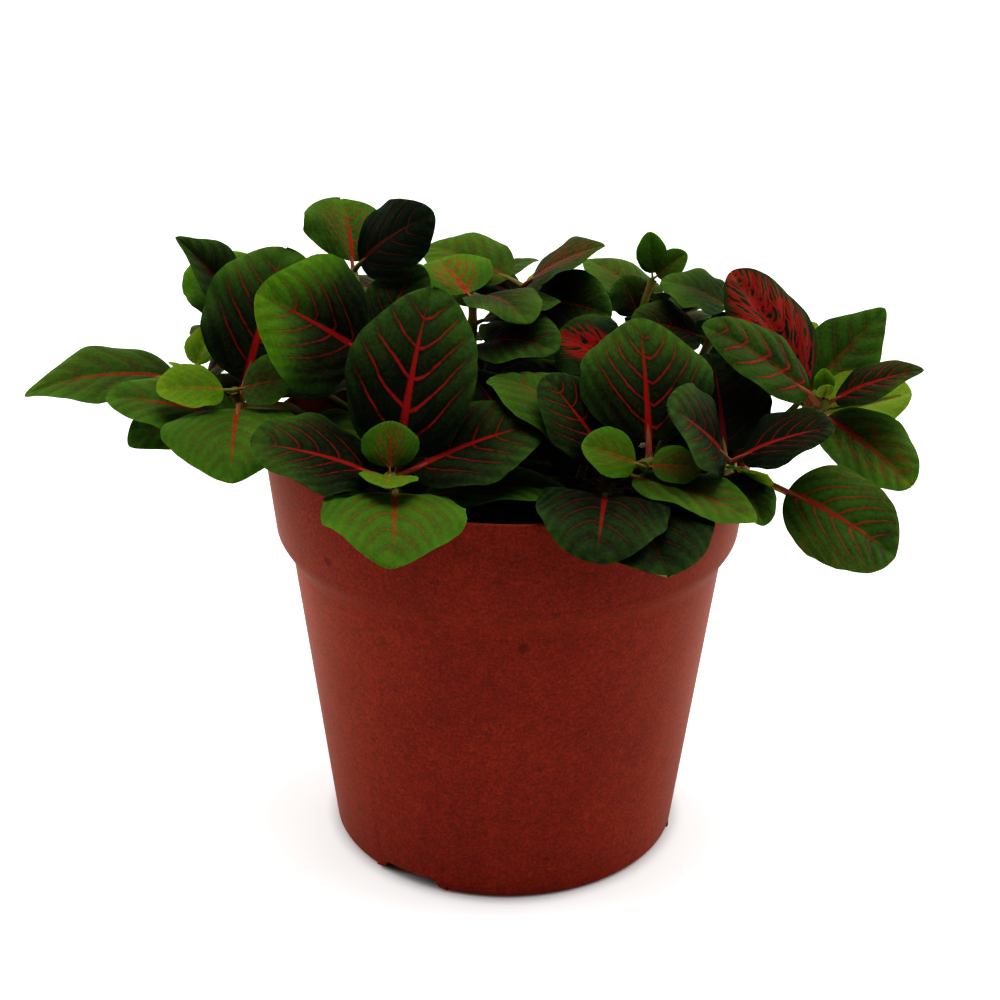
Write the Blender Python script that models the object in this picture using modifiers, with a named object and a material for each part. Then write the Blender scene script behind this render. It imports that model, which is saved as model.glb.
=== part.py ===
"""Potted nerve plant: a red-veined Fittonia in a thin plastic nursery pot.

The origin is the middle of the pot's underside, with +Z up and the side with the
three largest low rosettes towards -Y. Lengths in the plant's table are millimetres.
"""
import math

import bmesh
import bpy
import numpy as np

MM = 0.001
SEED = 7

# Pot: a tapered wall with a wide rim band, standing on its foot ring and a flat floor.
POT_HEIGHT = 107 * MM
RIM_RADIUS = 60 * MM
BAND_FOOT = 84.5 * MM
BAND_FOOT_RADIUS = 57.5 * MM
BODY_TOP = 75.5 * MM
BODY_TOP_RADIUS = 53.5 * MM
BASE_RADIUS = 44 * MM
WALL = 1.3 * MM
FLOOR = 1.4 * MM
FOOT_ROUNDING = 2 * MM
POT_STEPS = 42

# Drain channels under the floor, each open through the wall's foot.
CHANNEL_ANGLES = (-122, -2, 118)
CHANNEL_WIDTH = 19 * MM
CHANNEL_HEIGHT = 3.2 * MM
CHANNEL_START = 20 * MM
CHANNEL_SLOPE = 2.4 * MM
DRAIN_RADIUS = 3.5 * MM
DRAIN_PLACE = 32 * MM

# Soil: fills the pot to a little below the rim.
SOIL_TOP = 99 * MM
SOIL_BOTTOM = 5 * MM
SOIL_BUMP = 0.7 * MM
SOIL_STEPS = 24
GAP = 0.4 * MM

# Shoots: round stems in plain holes, with flat petioles and blades.
STEM_RADIUS = 1.3 * MM
STEM_DEPTH = 14 * MM
HOLE_RADIUS = 1.75 * MM
PETIOLE_HALF = 0.9 * MM
BLADE_THICKNESS = 0.8 * MM
# Rows and columns of faces on each kind of leaf.
GRIDS = {"leaf": (5, 4), "filler": (5, 2), "young": (4, 2)}

# Settling: how far apart neighbouring blades are brought, by turning each about its node.
CLEARANCE = 2.6 * MM
REACH = 8 * MM
STEM_CLEARANCE = 4.2 * MM
INNER_RIM_RADIUS = 53 * MM
ROUNDS = 60
LARGEST_STEP = math.radians(2.5)


def leaf(heading, rise, length, width, roll=0, arch=25, fold=0.3, stalk=0.14):
    """A grown leaf: angles in degrees, sizes in millimetres, free for how readily it gives way."""
    return dict(kind="leaf", heading=heading, rise=rise, length=length * MM, width=width * MM,
                roll=roll, arch=arch, fold=fold, stalk=stalk, free=0.35)


def young(heading, rise, length, width, roll=0):
    return leaf(heading, rise, length, width, roll, arch=12) | dict(kind="young")


def filler(heading, rise, length, width, roll=0, arch=25):
    """A leaf low in the plant or at its back, which gives way before the others."""
    return leaf(heading, rise, length, width, roll, arch) | dict(kind="filler", free=1)


def node(x, y, z, *leaves):
    return dict(place=np.array((x, y, z)) * MM, leaves=list(leaves))


SHOOTS = {
    "shoot_front_left": ((-22, -38), [
        node(-24, -43, 105, leaf(-165, 4, 20, 15), leaf(4, 6, 38, 22)),
        node(-25, -46, 109, leaf(74, 58, 47, 31), leaf(-87, -7, 34, 31, arch=50)),
        node(-26, -48, 112, leaf(-174, 19, 32, 27, roll=-15), leaf(16, 18, 36, 26, roll=18)),
        node(-26, -49, 114, young(90, 60, 12, 13), young(-90, 5, 14, 13)),
    ]),
    "shoot_left": ((-42, -18), [
        node(-58, -18, 112, leaf(-177, 14, 37, 23, roll=-14), leaf(-12, 6, 29, 21)),
        node(-63, -18, 119, leaf(-87, -14, 31, 32, arch=45), leaf(66, 53, 40, 29, roll=21)),
        node(-64, -20, 123, young(-160, 5, 18, 15, roll=-25), young(-14, 28, 16, 15, roll=30)),
    ]),
    "shoot_far_left": ((-46, 4), [
        node(-54, 4, 110),
        node(-70, 3, 111, leaf(-141, -10, 27, 18, roll=-22), filler(75, 0, 24, 18)),
        node(-76, 4, 116, leaf(-169, -1, 42, 22, roll=-18, arch=50), filler(20, 30, 24, 20)),
        node(-77, 5, 119, young(60, 55, 13, 10), young(-120, 25, 9, 8)),
    ]),
    "shoot_back_left": ((-38, 22), [
        node(-62, 20, 118, filler(125, 5, 30, 22), filler(-50, 25, 22, 18)),
        node(-67, 20, 127, leaf(-153, 52, 29, 17, roll=-48, fold=0.5), leaf(128, 42, 22, 20, roll=-25)),
    ]),
    "shoot_middle_left": ((-28, -6), [
        node(-31, -9, 116, filler(115, 15, 26, 20), filler(-95, 15, 20, 16)),
        node(-31, -10, 122, filler(-168, -6, 27, 19), filler(15, 8, 22, 16)),
        node(-32, -11, 128, leaf(-156, 26, 34, 33, roll=-70), leaf(55, 45, 26, 17, roll=10)),
        node(-38, 7, 144, leaf(108, 46, 20, 25, roll=15), leaf(-14, 37, 26, 20, roll=55, arch=50, fold=0.1)),
    ]),
    "shoot_middle": ((-8, 4), [
        node(-8, 2, 116, filler(-130, 15, 24, 18), filler(30, 18, 26, 20)),
        node(-9, 3, 126, leaf(-43, 6, 28, 21, roll=18, arch=50), filler(140, 25, 24, 18)),
        node(-9, 4, 132, filler(-155, 8, 22, 16), filler(5, 10, 22, 19)),
        node(-9, 5, 138, young(118, 12, 19, 20, roll=-8), leaf(-55, 0, 23, 19, arch=60)),
    ]),
    "shoot_middle_back": ((8, 22), [
        node(6, 20, 128, filler(60, 10, 30, 22), filler(-100, 10, 20, 16)),
        node(4, 18, 134, leaf(-24, -6, 22, 18, roll=50, arch=70), filler(150, 8, 22, 17)),
        node(3, 17, 138, leaf(-3, 24, 23, 22, roll=10), leaf(146, 13, 30, 19, roll=-20)),
    ]),
    "shoot_tall": ((30, 20), [
        node(33, 25, 127, leaf(139, 53, 12, 12, roll=-37), young(-41, 30, 10, 8)),
        node(36, 28, 137, young(80, 76, 12, 8, roll=18), young(0, 46, 11, 8, roll=50)),
    ]),
    "shoot_right_back": ((38, 4), [
        node(49, 6, 128, leaf(-162, 22, 21, 18, roll=-26), filler(40, 10, 26, 20)),
        node(55, 8, 134, leaf(161, 15, 20, 20, roll=-10, arch=40), filler(70, -5, 20, 16)),
    ]),
    "shoot_middle_right": ((18, -12), [
        node(24, -12, 118, filler(100, 10, 24, 18), leaf(170, 14, 27, 15, roll=-20)),
        node(27, -10, 127, leaf(162, 27, 18, 20, roll=-34), young(-20, 35, 11, 9)),
    ]),
    "shoot_inner": ((-2, -22), [
        node(-1, -23, 108, filler(35, 12, 26, 20), filler(-140, 6, 24, 18)),
        node(0, -24, 115, filler(120, 22, 26, 20), filler(-60, 8, 22, 17)),
        node(0, -24, 119, young(30, 35, 12, 10), young(-150, 30, 12, 10)),
    ]),
    "shoot_front_right": ((22, -34), [
        node(22, -41, 104, leaf(-70, -6, 36, 32, arch=60)),
        node(22, -42, 106.5, leaf(-97, 0, 35, 29, arch=60)),
        node(22, -41, 109.5, leaf(147, 22, 38, 26, arch=70)),
        node(24, -42, 112, leaf(157, 36, 27, 20, roll=-35), leaf(-28, -4, 34, 21, roll=7)),
        node(31.5, -42, 115, leaf(80, 50, 34, 31, roll=7)),
        node(30, -46, 115.5, young(-178, 16, 15, 13, roll=-36), young(-5, 12, 13, 11, roll=32)),
    ]),
    "shoot_right": ((42, -24), [
        node(50, -31, 109, leaf(-22, -20, 43, 26, roll=31, arch=45, stalk=0.35),
             leaf(85, 48, 32, 24, roll=4)),
        node(51, -34, 111, leaf(-50, -24, 18, 12), young(-66, 16, 14, 11, roll=140)),
        node(50, -37, 113, leaf(-156, 32, 28, 22, roll=-44), leaf(-18, 14, 25, 25, roll=22)),
    ]),
    "shoot_far_right": ((47, -4), [
        node(54, -5, 110),
        node(66, -8, 113, leaf(25, 30, 38, 18, roll=45, arch=10), leaf(2, 12, 31, 18, roll=-75, arch=-10)),
        node(72, -12, 117, leaf(156, 57, 38, 23, roll=-25), leaf(-39, -19, 30, 21, roll=20, arch=30)),
        node(74, -15, 119, leaf(-168, 34, 37, 17, roll=-40), leaf(3, 31, 25, 16, roll=5)),
        node(74, -15, 121, young(90, 70, 7, 5), young(-90, 50, 6, 4)),
    ]),
}

# The side that the photograph doesn't show: roots, crowns, grown by rule.
BACK_SHOOTS = {
    "shoot_rear_left": ((-36, 30), (-54, 48, 119)),
    "shoot_rear_middle_left": ((-18, 36), (-24, 52, 124)),
    "shoot_rear_middle": ((6, 46), (8, 68, 118)),
    "shoot_rear_right": ((30, 36), (44, 54, 121)),
    "shoot_rear_far_right": ((42, 16), (68, 26, 117)),
}


def grow_back_shoot(index, root, crown):
    """Three pairs of leaves, each pair square to the one below, the youngest at the top."""
    random = np.random.default_rng((SEED, index))
    root = np.array((root[0], root[1], SOIL_TOP / MM))
    crown = np.array(crown, float)
    outward = math.degrees(math.atan2(crown[1], crown[0]))
    nodes = []
    for step, share in enumerate((0.45, 0.78, 1.0)):
        place = root + (crown - root) * (share, share, share ** 0.6)
        leaves = []
        for half in (0, 1):
            heading = outward + 90 * (step % 2) + 180 * half + random.uniform(-14, 14)
            inward = math.cos(math.radians(heading - outward)) < -0.5
            if step < 2:
                length = random.uniform(28, 37) * (0.75 if inward else 1)
                rise = (4, 16)[step] + random.uniform(-6, 8) + 15 * inward
                leaves.append(filler(heading, rise, length, length * random.uniform(0.62, 0.74),
                                     random.uniform(-12, 12), random.uniform(20, 45)))
            else:
                length = random.uniform(12, 18)
                leaves.append(young(heading, random.uniform(25, 50), length, length * 0.75,
                                    random.uniform(-10, 10)))
        nodes.append(node(*place, *leaves))
    return nodes


def axes_of(blade):
    """The blade's own directions: along its midrib, across it, and out of its upper face."""
    heading, rise, roll = (math.radians(blade[name]) for name in ("heading", "rise", "roll"))
    flat = np.array((math.cos(heading), math.sin(heading), 0))
    along = math.cos(rise) * flat + (0, 0, math.sin(rise))
    up = -math.sin(rise) * flat + (0, 0, math.cos(rise))
    normal = math.cos(roll) * up + math.sin(roll) * np.cross(along, up)
    return np.array((along, np.cross(along, normal), normal))


def half_width(blade, along):
    """Half the blade's width, along running from the petiole's end, 0, to the tip, 1."""
    skewed = np.clip(along, 0, 1) ** 0.92
    oval = blade["width"] / 2 * np.clip(4 * skewed * (1 - skewed), 0, 1) ** 0.54
    return np.maximum(oval, PETIOLE_HALF * (1 - 0.4 * np.clip(along, 0, 1)))


def blade_points(blade, t, v):
    """Points of the middle surface: t from the node, 0, to the tip, 1; v across from -1 to 1."""
    arch = math.radians(blade["arch"] or 1)
    radius = blade["length"] / (2 * math.sin(arch / 2))
    turn = arch * (0.5 - t)
    forward = radius * (math.sin(arch / 2) - np.sin(turn))
    lift = radius * (np.cos(turn) - math.cos(arch / 2))
    along = (t - blade["stalk"]) / (1 - blade["stalk"])
    half = half_width(blade, along)
    blend = np.clip(4 * along, 0, 1)
    edge = np.abs(v)
    wave = np.sin(blade["waves"] * math.pi * along + blade["phase"] + 1.7 * (v > 0))
    bend = half * blend * (blade["fold"] * edge - blade["curl"] * edge ** 2)
    bend = bend + blade["ripple"] * blend * wave * edge ** 3
    local = np.stack((forward - np.sin(turn) * bend, v * half,
                      lift + np.cos(turn) * bend), axis=-1)
    return blade["base"] + local @ blade["axes"]


def plan_plant():
    """Every shoot's stem points and leaves, in the order in which they are made."""
    shoots = {}
    table = dict(SHOOTS)
    for index, (name, (root, crown)) in enumerate(BACK_SHOOTS.items()):
        table[name] = (root, grow_back_shoot(index, root, crown))
    for index, (name, (root, nodes)) in enumerate(table.items()):
        random = np.random.default_rng((SEED, 100 + index))
        foot = np.array((root[0] * MM, root[1] * MM, SOIL_TOP))
        blades = []
        for number, place in enumerate(nodes):
            for blade in place["leaves"]:
                blade = dict(blade)
                blade["base"] = place["place"]
                blade["axes"] = axes_of(blade)
                blade["phase"] = random.uniform(0, 6)
                blade["waves"] = random.uniform(3, 5)
                tender = blade["kind"] == "young"
                blade["ripple"] = blade["width"] * (0.015 if tender else 0.03)
                blade["curl"] = 0.15 if tender else 0.24
                blade["node"] = number
                blades.append(blade)
        stem = [foot, foot + (0, 0, 2 * MM)] + [place["place"] for place in nodes]
        shoots[name] = dict(foot=foot, stem=np.array(stem), blades=blades)
    return shoots



def turn_matrices(spins):
    """The rotations by an array of small turn vectors."""
    angles = np.maximum(np.linalg.norm(spins, axis=1), 1e-12)[:, None, None]
    x, y, z = (spins / angles[:, 0]).T
    zero = np.zeros_like(x)
    cross = np.array(((zero, -z, y), (z, zero, -x), (-y, x, zero))).transpose(2, 0, 1)
    return np.identity(3) + np.sin(angles) * cross + (1 - np.cos(angles)) * cross @ cross


def sample_blade(blade):
    """Points spread over a blade, and which way its upper face looks at each."""
    t, v = np.meshgrid((0.3, 0.45, 0.6, 0.75, 0.88, 0.98), (-0.95, -0.5, 0.0, 0.5, 0.95), indexing="ij")
    points = blade_points(blade, t, v)
    normals = np.cross(np.gradient(points, axis=1), np.gradient(points, axis=0))
    normals /= np.linalg.norm(normals, axis=-1, keepdims=True)
    return points.reshape(-1, 3), normals.reshape(-1, 3)


def near_pairs(points):
    """Every two blades that could touch, by the spheres round them."""
    middles = points.mean(axis=1)
    radii = np.linalg.norm(points - middles[:, None], axis=2).max(axis=1)
    apart = np.linalg.norm(middles[:, None] - middles[None], axis=2)
    return np.nonzero(np.triu(apart < radii[:, None] + radii[None] + REACH, 1))


def press_apart(points, others, normals, rooted, clearance):
    """Pushes out of the other blade's face, to the side on which most of this blade lies."""
    apart = points[:, :, None] - others[:, None]
    distance = np.linalg.norm(apart, axis=3)
    nearest = distance.argmin(axis=2)
    gap = distance.min(axis=2)
    pair = np.arange(len(points))[:, None]
    normal = normals[pair, nearest]
    height = (apart[pair, np.arange(points.shape[1])[None], nearest] * normal).sum(axis=2)
    close = (gap < REACH) & ~rooted
    side = np.where((height * close).sum(axis=1, keepdims=True) >= 0, 1.0, -1.0)
    beside = np.sqrt(np.maximum(gap ** 2 - height ** 2, 0))
    missing = np.clip(clearance - side * height, 0, 3 * clearance)
    missing = np.where(close & (beside < 0.55 * REACH), missing, 0)
    return (side * missing)[:, :, None] * normal, nearest


def rim_push(points):
    """Pushes up off the soil and the rim, or out from the pot's wall."""
    radius = np.linalg.norm(points[..., :2], axis=-1)
    top = np.where(radius > INNER_RIM_RADIUS, POT_HEIGHT + 2.2 * MM, SOIL_TOP + 3 * MM)
    over = np.clip(top - points[..., 2], 0, None)
    beyond = np.clip(RIM_RADIUS + 2.5 * MM - radius, 0, None)
    outward = (radius > INNER_RIM_RADIUS + 3 * MM) & (beyond < over)
    push = np.zeros_like(points)
    push[..., 2] = np.where((beyond > 0) & ~outward, over, 0)
    push[..., :2] += np.where(outward, beyond / radius, 0)[..., None] * points[..., :2]
    return push


def stem_push(points, homes, stem_points, stem_homes):
    """Pushes away from other shoots' stems."""
    apart = points[:, :, None] - stem_points
    distance = np.linalg.norm(apart, axis=3)
    distance = np.where(homes[:, None, None] == stem_homes, 1.0, distance)
    nearest = distance.argmin(axis=2)[:, :, None]
    gap = np.take_along_axis(distance, nearest, axis=2)
    away = np.take_along_axis(apart, nearest[..., None], axis=2)[:, :, 0]
    return away / gap * np.clip(STEM_CLEARANCE - gap, 0, None)


def settle(shoots):
    """Turns blades a little about their nodes until they lie clear of each other, as real ones do."""
    blades = [blade for shoot in shoots.values() for blade in shoot["blades"]]
    homes = np.array([home for home, shoot in enumerate(shoots.values()) for _ in shoot["blades"]])
    stems = [np.concatenate([np.linspace(a, b, 8) for a, b in zip(shoot["stem"][1:], shoot["stem"][2:])])
             for shoot in shoots.values()]
    stem_points = np.concatenate(stems)
    stem_homes = np.repeat(np.arange(len(stems)), [len(stem) for stem in stems])
    bases = np.array([blade["base"] for blade in blades])[:, None]
    free = np.array([blade["free"] for blade in blades])[:, None, None]
    most = np.radians(8.5 + 25 * free[:, 0, 0])
    points, normals = (np.array(each) for each in zip(*(sample_blade(blade) for blade in blades)))
    total = np.tile(np.identity(3), (len(blades), 1, 1))
    for _ in range(ROUNDS):
        pushes = rim_push(points) + stem_push(points, homes, stem_points, stem_homes)
        first, second = near_pairs(points)
        same = homes[first] == homes[second]
        clearance = np.where(same, 0.6, 1.0)[:, None] * CLEARANCE
        rooted_reach = np.where(same, 9 * MM, 2 * MM)[:, None]
        for one, other in ((first, second), (second, first)):
            rooted = np.linalg.norm(points[one] - bases[other], axis=2) < rooted_reach
            push, nearest = press_apart(points[one], points[other], normals[other], rooted, clearance)
            share = free[one] / (free[one] + free[other])
            np.add.at(pushes, one, share * push)
            np.add.at(pushes, (other[:, None], nearest), (share - 1) * push)
        arms = points - bases
        reach = (arms ** 2).sum(axis=2)
        pressed = np.abs(pushes).sum(axis=2) > 0
        inertia = (reach * pressed).sum(axis=1) + 0.25 * reach.sum(axis=1)
        spins = 0.6 * np.cross(arms, pushes).sum(axis=1) / inertia[:, None]
        size = np.maximum(np.linalg.norm(spins, axis=1, keepdims=True), 1e-12)
        spins *= np.minimum(1, LARGEST_STEP / size)
        turned = turn_matrices(spins) @ total
        angles = np.arccos(np.clip((np.trace(turned, axis1=1, axis2=2) - 1) / 2, -1, 1))
        spins[angles > most] = 0
        step = turn_matrices(spins)
        total = step @ total
        points = bases + arms @ step.transpose(0, 2, 1)
        normals = normals @ step.transpose(0, 2, 1)
    for blade, turn in zip(blades, total):
        blade["axes"] = blade["axes"] @ turn.T
    return shoots


def clear_scene():
    for thing in list(bpy.data.objects):
        bpy.data.objects.remove(thing, do_unlink=True)


def make_material(name, colour, roughness):
    material = bpy.data.materials.new(name)
    material.use_nodes = True
    shader = material.node_tree.nodes["Principled BSDF"]
    shader.inputs["Base Color"].default_value = (*colour, 1)
    shader.inputs["Roughness"].default_value = roughness
    shader.inputs["Metallic"].default_value = 0
    material.diffuse_color = (*colour, 1)
    return material


def new_collection(name):
    collection = bpy.data.collections.new(name)
    bpy.context.scene.collection.children.link(collection)
    return collection


def add_object(name, mesh, collection, material=None):
    thing = bpy.data.objects.new(name, mesh)
    collection.objects.link(thing)
    if material:
        mesh.materials.clear()
        mesh.materials.append(material)
    return thing


def mark_cutter(thing):
    thing.hide_render = True
    thing.display_type = "WIRE"


def evaluated_mesh(thing, name):
    """A mesh of the object as its modifiers leave it."""
    depsgraph = bpy.context.evaluated_depsgraph_get()
    mesh = bpy.data.meshes.new_from_object(thing.evaluated_get(depsgraph), depsgraph=depsgraph)
    mesh.name = name
    return mesh


def apply_modifiers(thing):
    mesh = evaluated_mesh(thing, thing.name)
    thing.modifiers.clear()
    thing.data = mesh


def join(thing, collection, operation):
    """One Boolean with every object of a collection, applied."""
    modifier = thing.modifiers.new(operation.title(), "BOOLEAN")
    modifier.operation = operation
    modifier.operand_type = "COLLECTION"
    modifier.collection = collection
    modifier.solver = "EXACT"
    apply_modifiers(thing)


def drop_collection(collection):
    for thing in list(collection.objects):
        bpy.data.objects.remove(thing, do_unlink=True)
    bpy.data.collections.remove(collection)


def turned(name, profile, steps, collection, material=None):
    """A profile in the XZ plane, turned about Z; both its ends lie on the axis."""
    mesh = bpy.data.meshes.new(name)
    shape = bmesh.new()
    points = [shape.verts.new((x, 0, z)) for x, z in profile]
    for one, other in zip(points, points[1:]):
        shape.edges.new((one, other))
    shape.to_mesh(mesh)
    shape.free()
    thing = add_object(name, mesh, collection, material)
    screw = thing.modifiers.new("Turn", "SCREW")
    screw.axis = "Z"
    screw.steps = steps
    screw.render_steps = steps
    screw.use_merge_vertices = True
    screw.merge_threshold = 0.00001
    screw.use_smooth_shade = True
    apply_modifiers(thing)
    return thing


def smoothstep(share):
    return share * share * (3 - 2 * share)


def outer_radius(z):
    """The pot's outer radius at a height: body, a short S-curve, and the rim band."""
    if z >= BAND_FOOT:
        share = (z - BAND_FOOT) / (POT_HEIGHT - BAND_FOOT)
        return BAND_FOOT_RADIUS + (RIM_RADIUS - BAND_FOOT_RADIUS) * share
    if z <= BODY_TOP:
        return BASE_RADIUS + (BODY_TOP_RADIUS - BASE_RADIUS) * z / BODY_TOP
    share = smoothstep((z - BODY_TOP) / (BAND_FOOT - BODY_TOP))
    return BODY_TOP_RADIUS + (BAND_FOOT_RADIUS - BODY_TOP_RADIUS) * share


def curve_heights():
    """Heights down the S-curve under the band, from its top to its bottom."""
    return [BAND_FOOT + (BODY_TOP - BAND_FOOT) * step / 3 for step in range(4)]


def pot_profile():
    inner_foot = outer_radius(FLOOR) - WALL
    profile = [(0, FLOOR), (inner_foot - 1 * MM, FLOOR), (inner_foot, FLOOR + 1 * MM)]
    profile += [(outer_radius(z) - WALL, z) for z in reversed(curve_heights())]
    profile += [(RIM_RADIUS - WALL, POT_HEIGHT), (RIM_RADIUS - 0.3 * WALL, POT_HEIGHT)]
    profile += [(RIM_RADIUS, POT_HEIGHT - 0.5 * MM)]
    profile += [(outer_radius(z), z) for z in curve_heights()]
    foot = outer_radius(FOOT_ROUNDING)
    profile += [(foot, FOOT_ROUNDING), (foot - 0.3 * FOOT_ROUNDING, 0.3 * FOOT_ROUNDING)]
    profile += [(foot - FOOT_ROUNDING, 0), (0, 0)]
    return profile


def wedge(name, start, end, width, height, slope, drop, collection):
    """A bar along +X with sloping sides, from below the floor up to a height."""
    mesh = bpy.data.meshes.new(name)
    shape = bmesh.new()
    bmesh.ops.create_cube(shape, size=1)
    for vert in shape.verts:
        top = vert.co.z > 0
        side = width / 2 - (slope if top else 0)
        far = start + (slope if top else 0) if vert.co.x < 0 else end
        vert.co = (far, math.copysign(side, vert.co.y), height if top else -drop)
    shape.to_mesh(mesh)
    shape.free()
    return add_object(name, mesh, collection)


def cylinder(name, radius, low, high, place, collection, sides=8):
    mesh = bpy.data.meshes.new(name)
    shape = bmesh.new()
    bmesh.ops.create_cone(shape, cap_ends=True, segments=sides, radius1=radius, radius2=radius,
                          depth=high - low)
    shape.to_mesh(mesh)
    shape.free()
    thing = add_object(name, mesh, collection)
    thing.location = (place[0], place[1], (low + high) / 2)
    return thing


def make_pot(collection, cutters, material):
    """The pot, with a raised hump over each drain channel."""
    pot = turned("pot", pot_profile(), POT_STEPS, collection, material)
    humps = new_collection("humps")
    inside = outer_radius(0) - WALL / 2
    for number, angle in enumerate(CHANNEL_ANGLES):
        turn = math.radians(angle)
        hump = wedge(f"hump_{number}", CHANNEL_START - FLOOR, inside, CHANNEL_WIDTH + 2 * FLOOR,
                     CHANNEL_HEIGHT + FLOOR, CHANNEL_SLOPE, -0.5 * FLOOR, humps)
        hump.rotation_euler.z = turn
        channel = wedge(f"channel_{number}", CHANNEL_START, BASE_RADIUS + 3 * MM, CHANNEL_WIDTH,
                        CHANNEL_HEIGHT, CHANNEL_SLOPE, 1 * MM, cutters)
        channel.rotation_euler.z = turn
        place = (DRAIN_PLACE * math.cos(turn), DRAIN_PLACE * math.sin(turn))
        cylinder(f"drain_{number}", DRAIN_RADIUS, 1 * MM, 6 * MM, place, cutters, sides=16)
    join(pot, humps, "UNION")
    drop_collection(humps)
    join(pot, cutters, "DIFFERENCE")
    pot.data.shade_smooth()
    pot.data.set_sharp_from_angle(angle=math.radians(35))
    return pot


def soil_profile():
    side = [(outer_radius(z) - WALL - GAP, z) for z in [SOIL_TOP - 0.6 * MM] + curve_heights()]
    bottom = outer_radius(SOIL_BOTTOM) - WALL - GAP
    rings = [(share * (side[0][0] - 1 * MM), SOIL_TOP) for share in (0, 0.33, 0.67, 1)]
    return rings + side + [(bottom, SOIL_BOTTOM), (0, SOIL_BOTTOM)]


def make_soil(collection, holes, material, shoots):
    """The potting soil, bumpy on top, with a plain hole for each stem."""
    soil = turned("soil", soil_profile(), SOIL_STEPS, collection, material)
    random = np.random.default_rng(SEED)
    waves = random.uniform(0.05, 0.3, (6, 2)) / MM
    phases = random.uniform(0, 2 * math.pi, 6)
    for vert in soil.data.vertices:
        if vert.co.z > SOIL_TOP - 0.1 * MM:
            place = np.array(vert.co[:2])
            vert.co.z += SOIL_BUMP * float(np.sin(waves @ place + phases).mean())
    for name, shoot in shoots.items():
        foot = shoot["foot"]
        cylinder(f"hole_{name}", HOLE_RADIUS, foot[2] - STEM_DEPTH - GAP, foot[2] + 5 * MM, foot, holes)
    join(soil, holes, "DIFFERENCE")
    soil.data.shade_smooth()
    soil.data.set_sharp_from_angle(angle=math.radians(40))
    return soil


def stem_tube(name, shoot, collection):
    """A shoot's stem: a round tube from its foot in the soil to just past its last node."""
    curve = bpy.data.curves.new(name, "CURVE")
    curve.dimensions = "3D"
    curve.bevel_depth = STEM_RADIUS
    curve.bevel_resolution = 2
    curve.use_fill_caps = True
    points = list(shoot["stem"])
    points[0] = points[0] - np.array((0, 0, STEM_DEPTH))
    last = points[-1] - points[-2]
    points[-1] = points[-1] + last / np.linalg.norm(last) * STEM_RADIUS
    spline = curve.splines.new("POLY")
    spline.points.add(len(points) - 1)
    for target, point in zip(spline.points, points):
        target.co = (*point, 1)
    tube = bpy.data.objects.new(f"{name}_tube", curve)
    collection.objects.link(tube)
    mesh = evaluated_mesh(tube, name)
    bpy.data.objects.remove(tube, do_unlink=True)
    bpy.data.curves.remove(curve)
    shape = bmesh.new()
    shape.from_mesh(mesh)
    bmesh.ops.remove_doubles(shape, verts=shape.verts, dist=0.01 * MM)
    shape.to_mesh(mesh)
    shape.free()
    return mesh


def row_place(blade, step, rows):
    """How far along a blade a row lies: the node, the petiole's end, then closer near both ends."""
    if step < 1:
        return step * blade["stalk"]
    share = 0.03 + 0.9 * (step - 1) / (rows - 1)
    return blade["stalk"] + (1 - blade["stalk"]) * (1 - math.cos(math.pi * share)) / 2


def blade_solid(name, blade, collection):
    """A leaf: a grid laid on the blade's middle surface, split into triangles, and thickened."""
    rows, columns = GRIDS[blade["kind"]]
    mesh = bpy.data.meshes.new(name)
    shape = bmesh.new()
    bmesh.ops.create_grid(shape, x_segments=rows, y_segments=columns, size=1)
    for vert in shape.verts:
        t = row_place(blade, round((vert.co.x + 1) / 2 * rows), rows)
        vert.co = blade_points(blade, np.array(t), np.array(vert.co.y))
    bmesh.ops.triangulate(shape, faces=shape.faces)
    shape.to_mesh(mesh)
    shape.free()
    thing = add_object(name, mesh, collection)
    solid = thing.modifiers.new("Thickness", "SOLIDIFY")
    solid.thickness = BLADE_THICKNESS
    solid.offset = 0
    return thing


def make_shoot(name, shoot, collection, material):
    """A leafy stem, its blades' roots sunk in it, joined into one solid."""
    stem = add_object(name, stem_tube(name, shoot, collection), collection, material)
    blades = new_collection(f"{name}_blades")
    for number, blade in enumerate(shoot["blades"]):
        blade_solid(f"{name}_blade_{number}", blade, blades)
    join(stem, blades, "UNION")
    drop_collection(blades)
    stem.data.materials.clear()
    stem.data.materials.append(material)
    stem.data.shade_smooth()
    stem.data.set_sharp_from_angle(angle=math.radians(50))
    return stem


def build():
    clear_scene()
    collection = new_collection("potted_nerve_plant")
    cutters = new_collection("pot_cutters")
    holes = new_collection("soil_cutters")
    plastic = make_material("terracotta_plastic", (0.30, 0.055, 0.035), 0.55)
    earth = make_material("potting_soil", (0.02, 0.015, 0.012), 0.95)
    foliage = make_material("foliage", (0.035, 0.10, 0.025), 0.5)
    shoots = settle(plan_plant())
    make_pot(collection, cutters, plastic)
    make_soil(collection, holes, earth, shoots)
    for name, shoot in shoots.items():
        make_shoot(name, shoot, collection, foliage)
    for cutter in list(cutters.objects) + list(holes.objects):
        mark_cutter(cutter)


build()
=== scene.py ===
"""Looks for the potted nerve plant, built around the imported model.

The plant's table and the functions that place and settle its leaves are the part's own, so
every leaf here lies where the part's does. Lengths in the table are millimetres.
"""
import math

import bmesh
import bpy
import numpy as np
from mathutils import Matrix, Vector


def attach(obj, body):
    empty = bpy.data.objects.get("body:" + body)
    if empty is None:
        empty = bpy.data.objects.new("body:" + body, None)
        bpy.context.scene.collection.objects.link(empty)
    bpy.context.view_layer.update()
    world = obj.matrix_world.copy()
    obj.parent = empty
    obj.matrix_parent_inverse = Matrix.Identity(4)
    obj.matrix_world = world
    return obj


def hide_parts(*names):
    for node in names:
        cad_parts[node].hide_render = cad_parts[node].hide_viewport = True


MM = 0.001
SEED = 7

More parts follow.
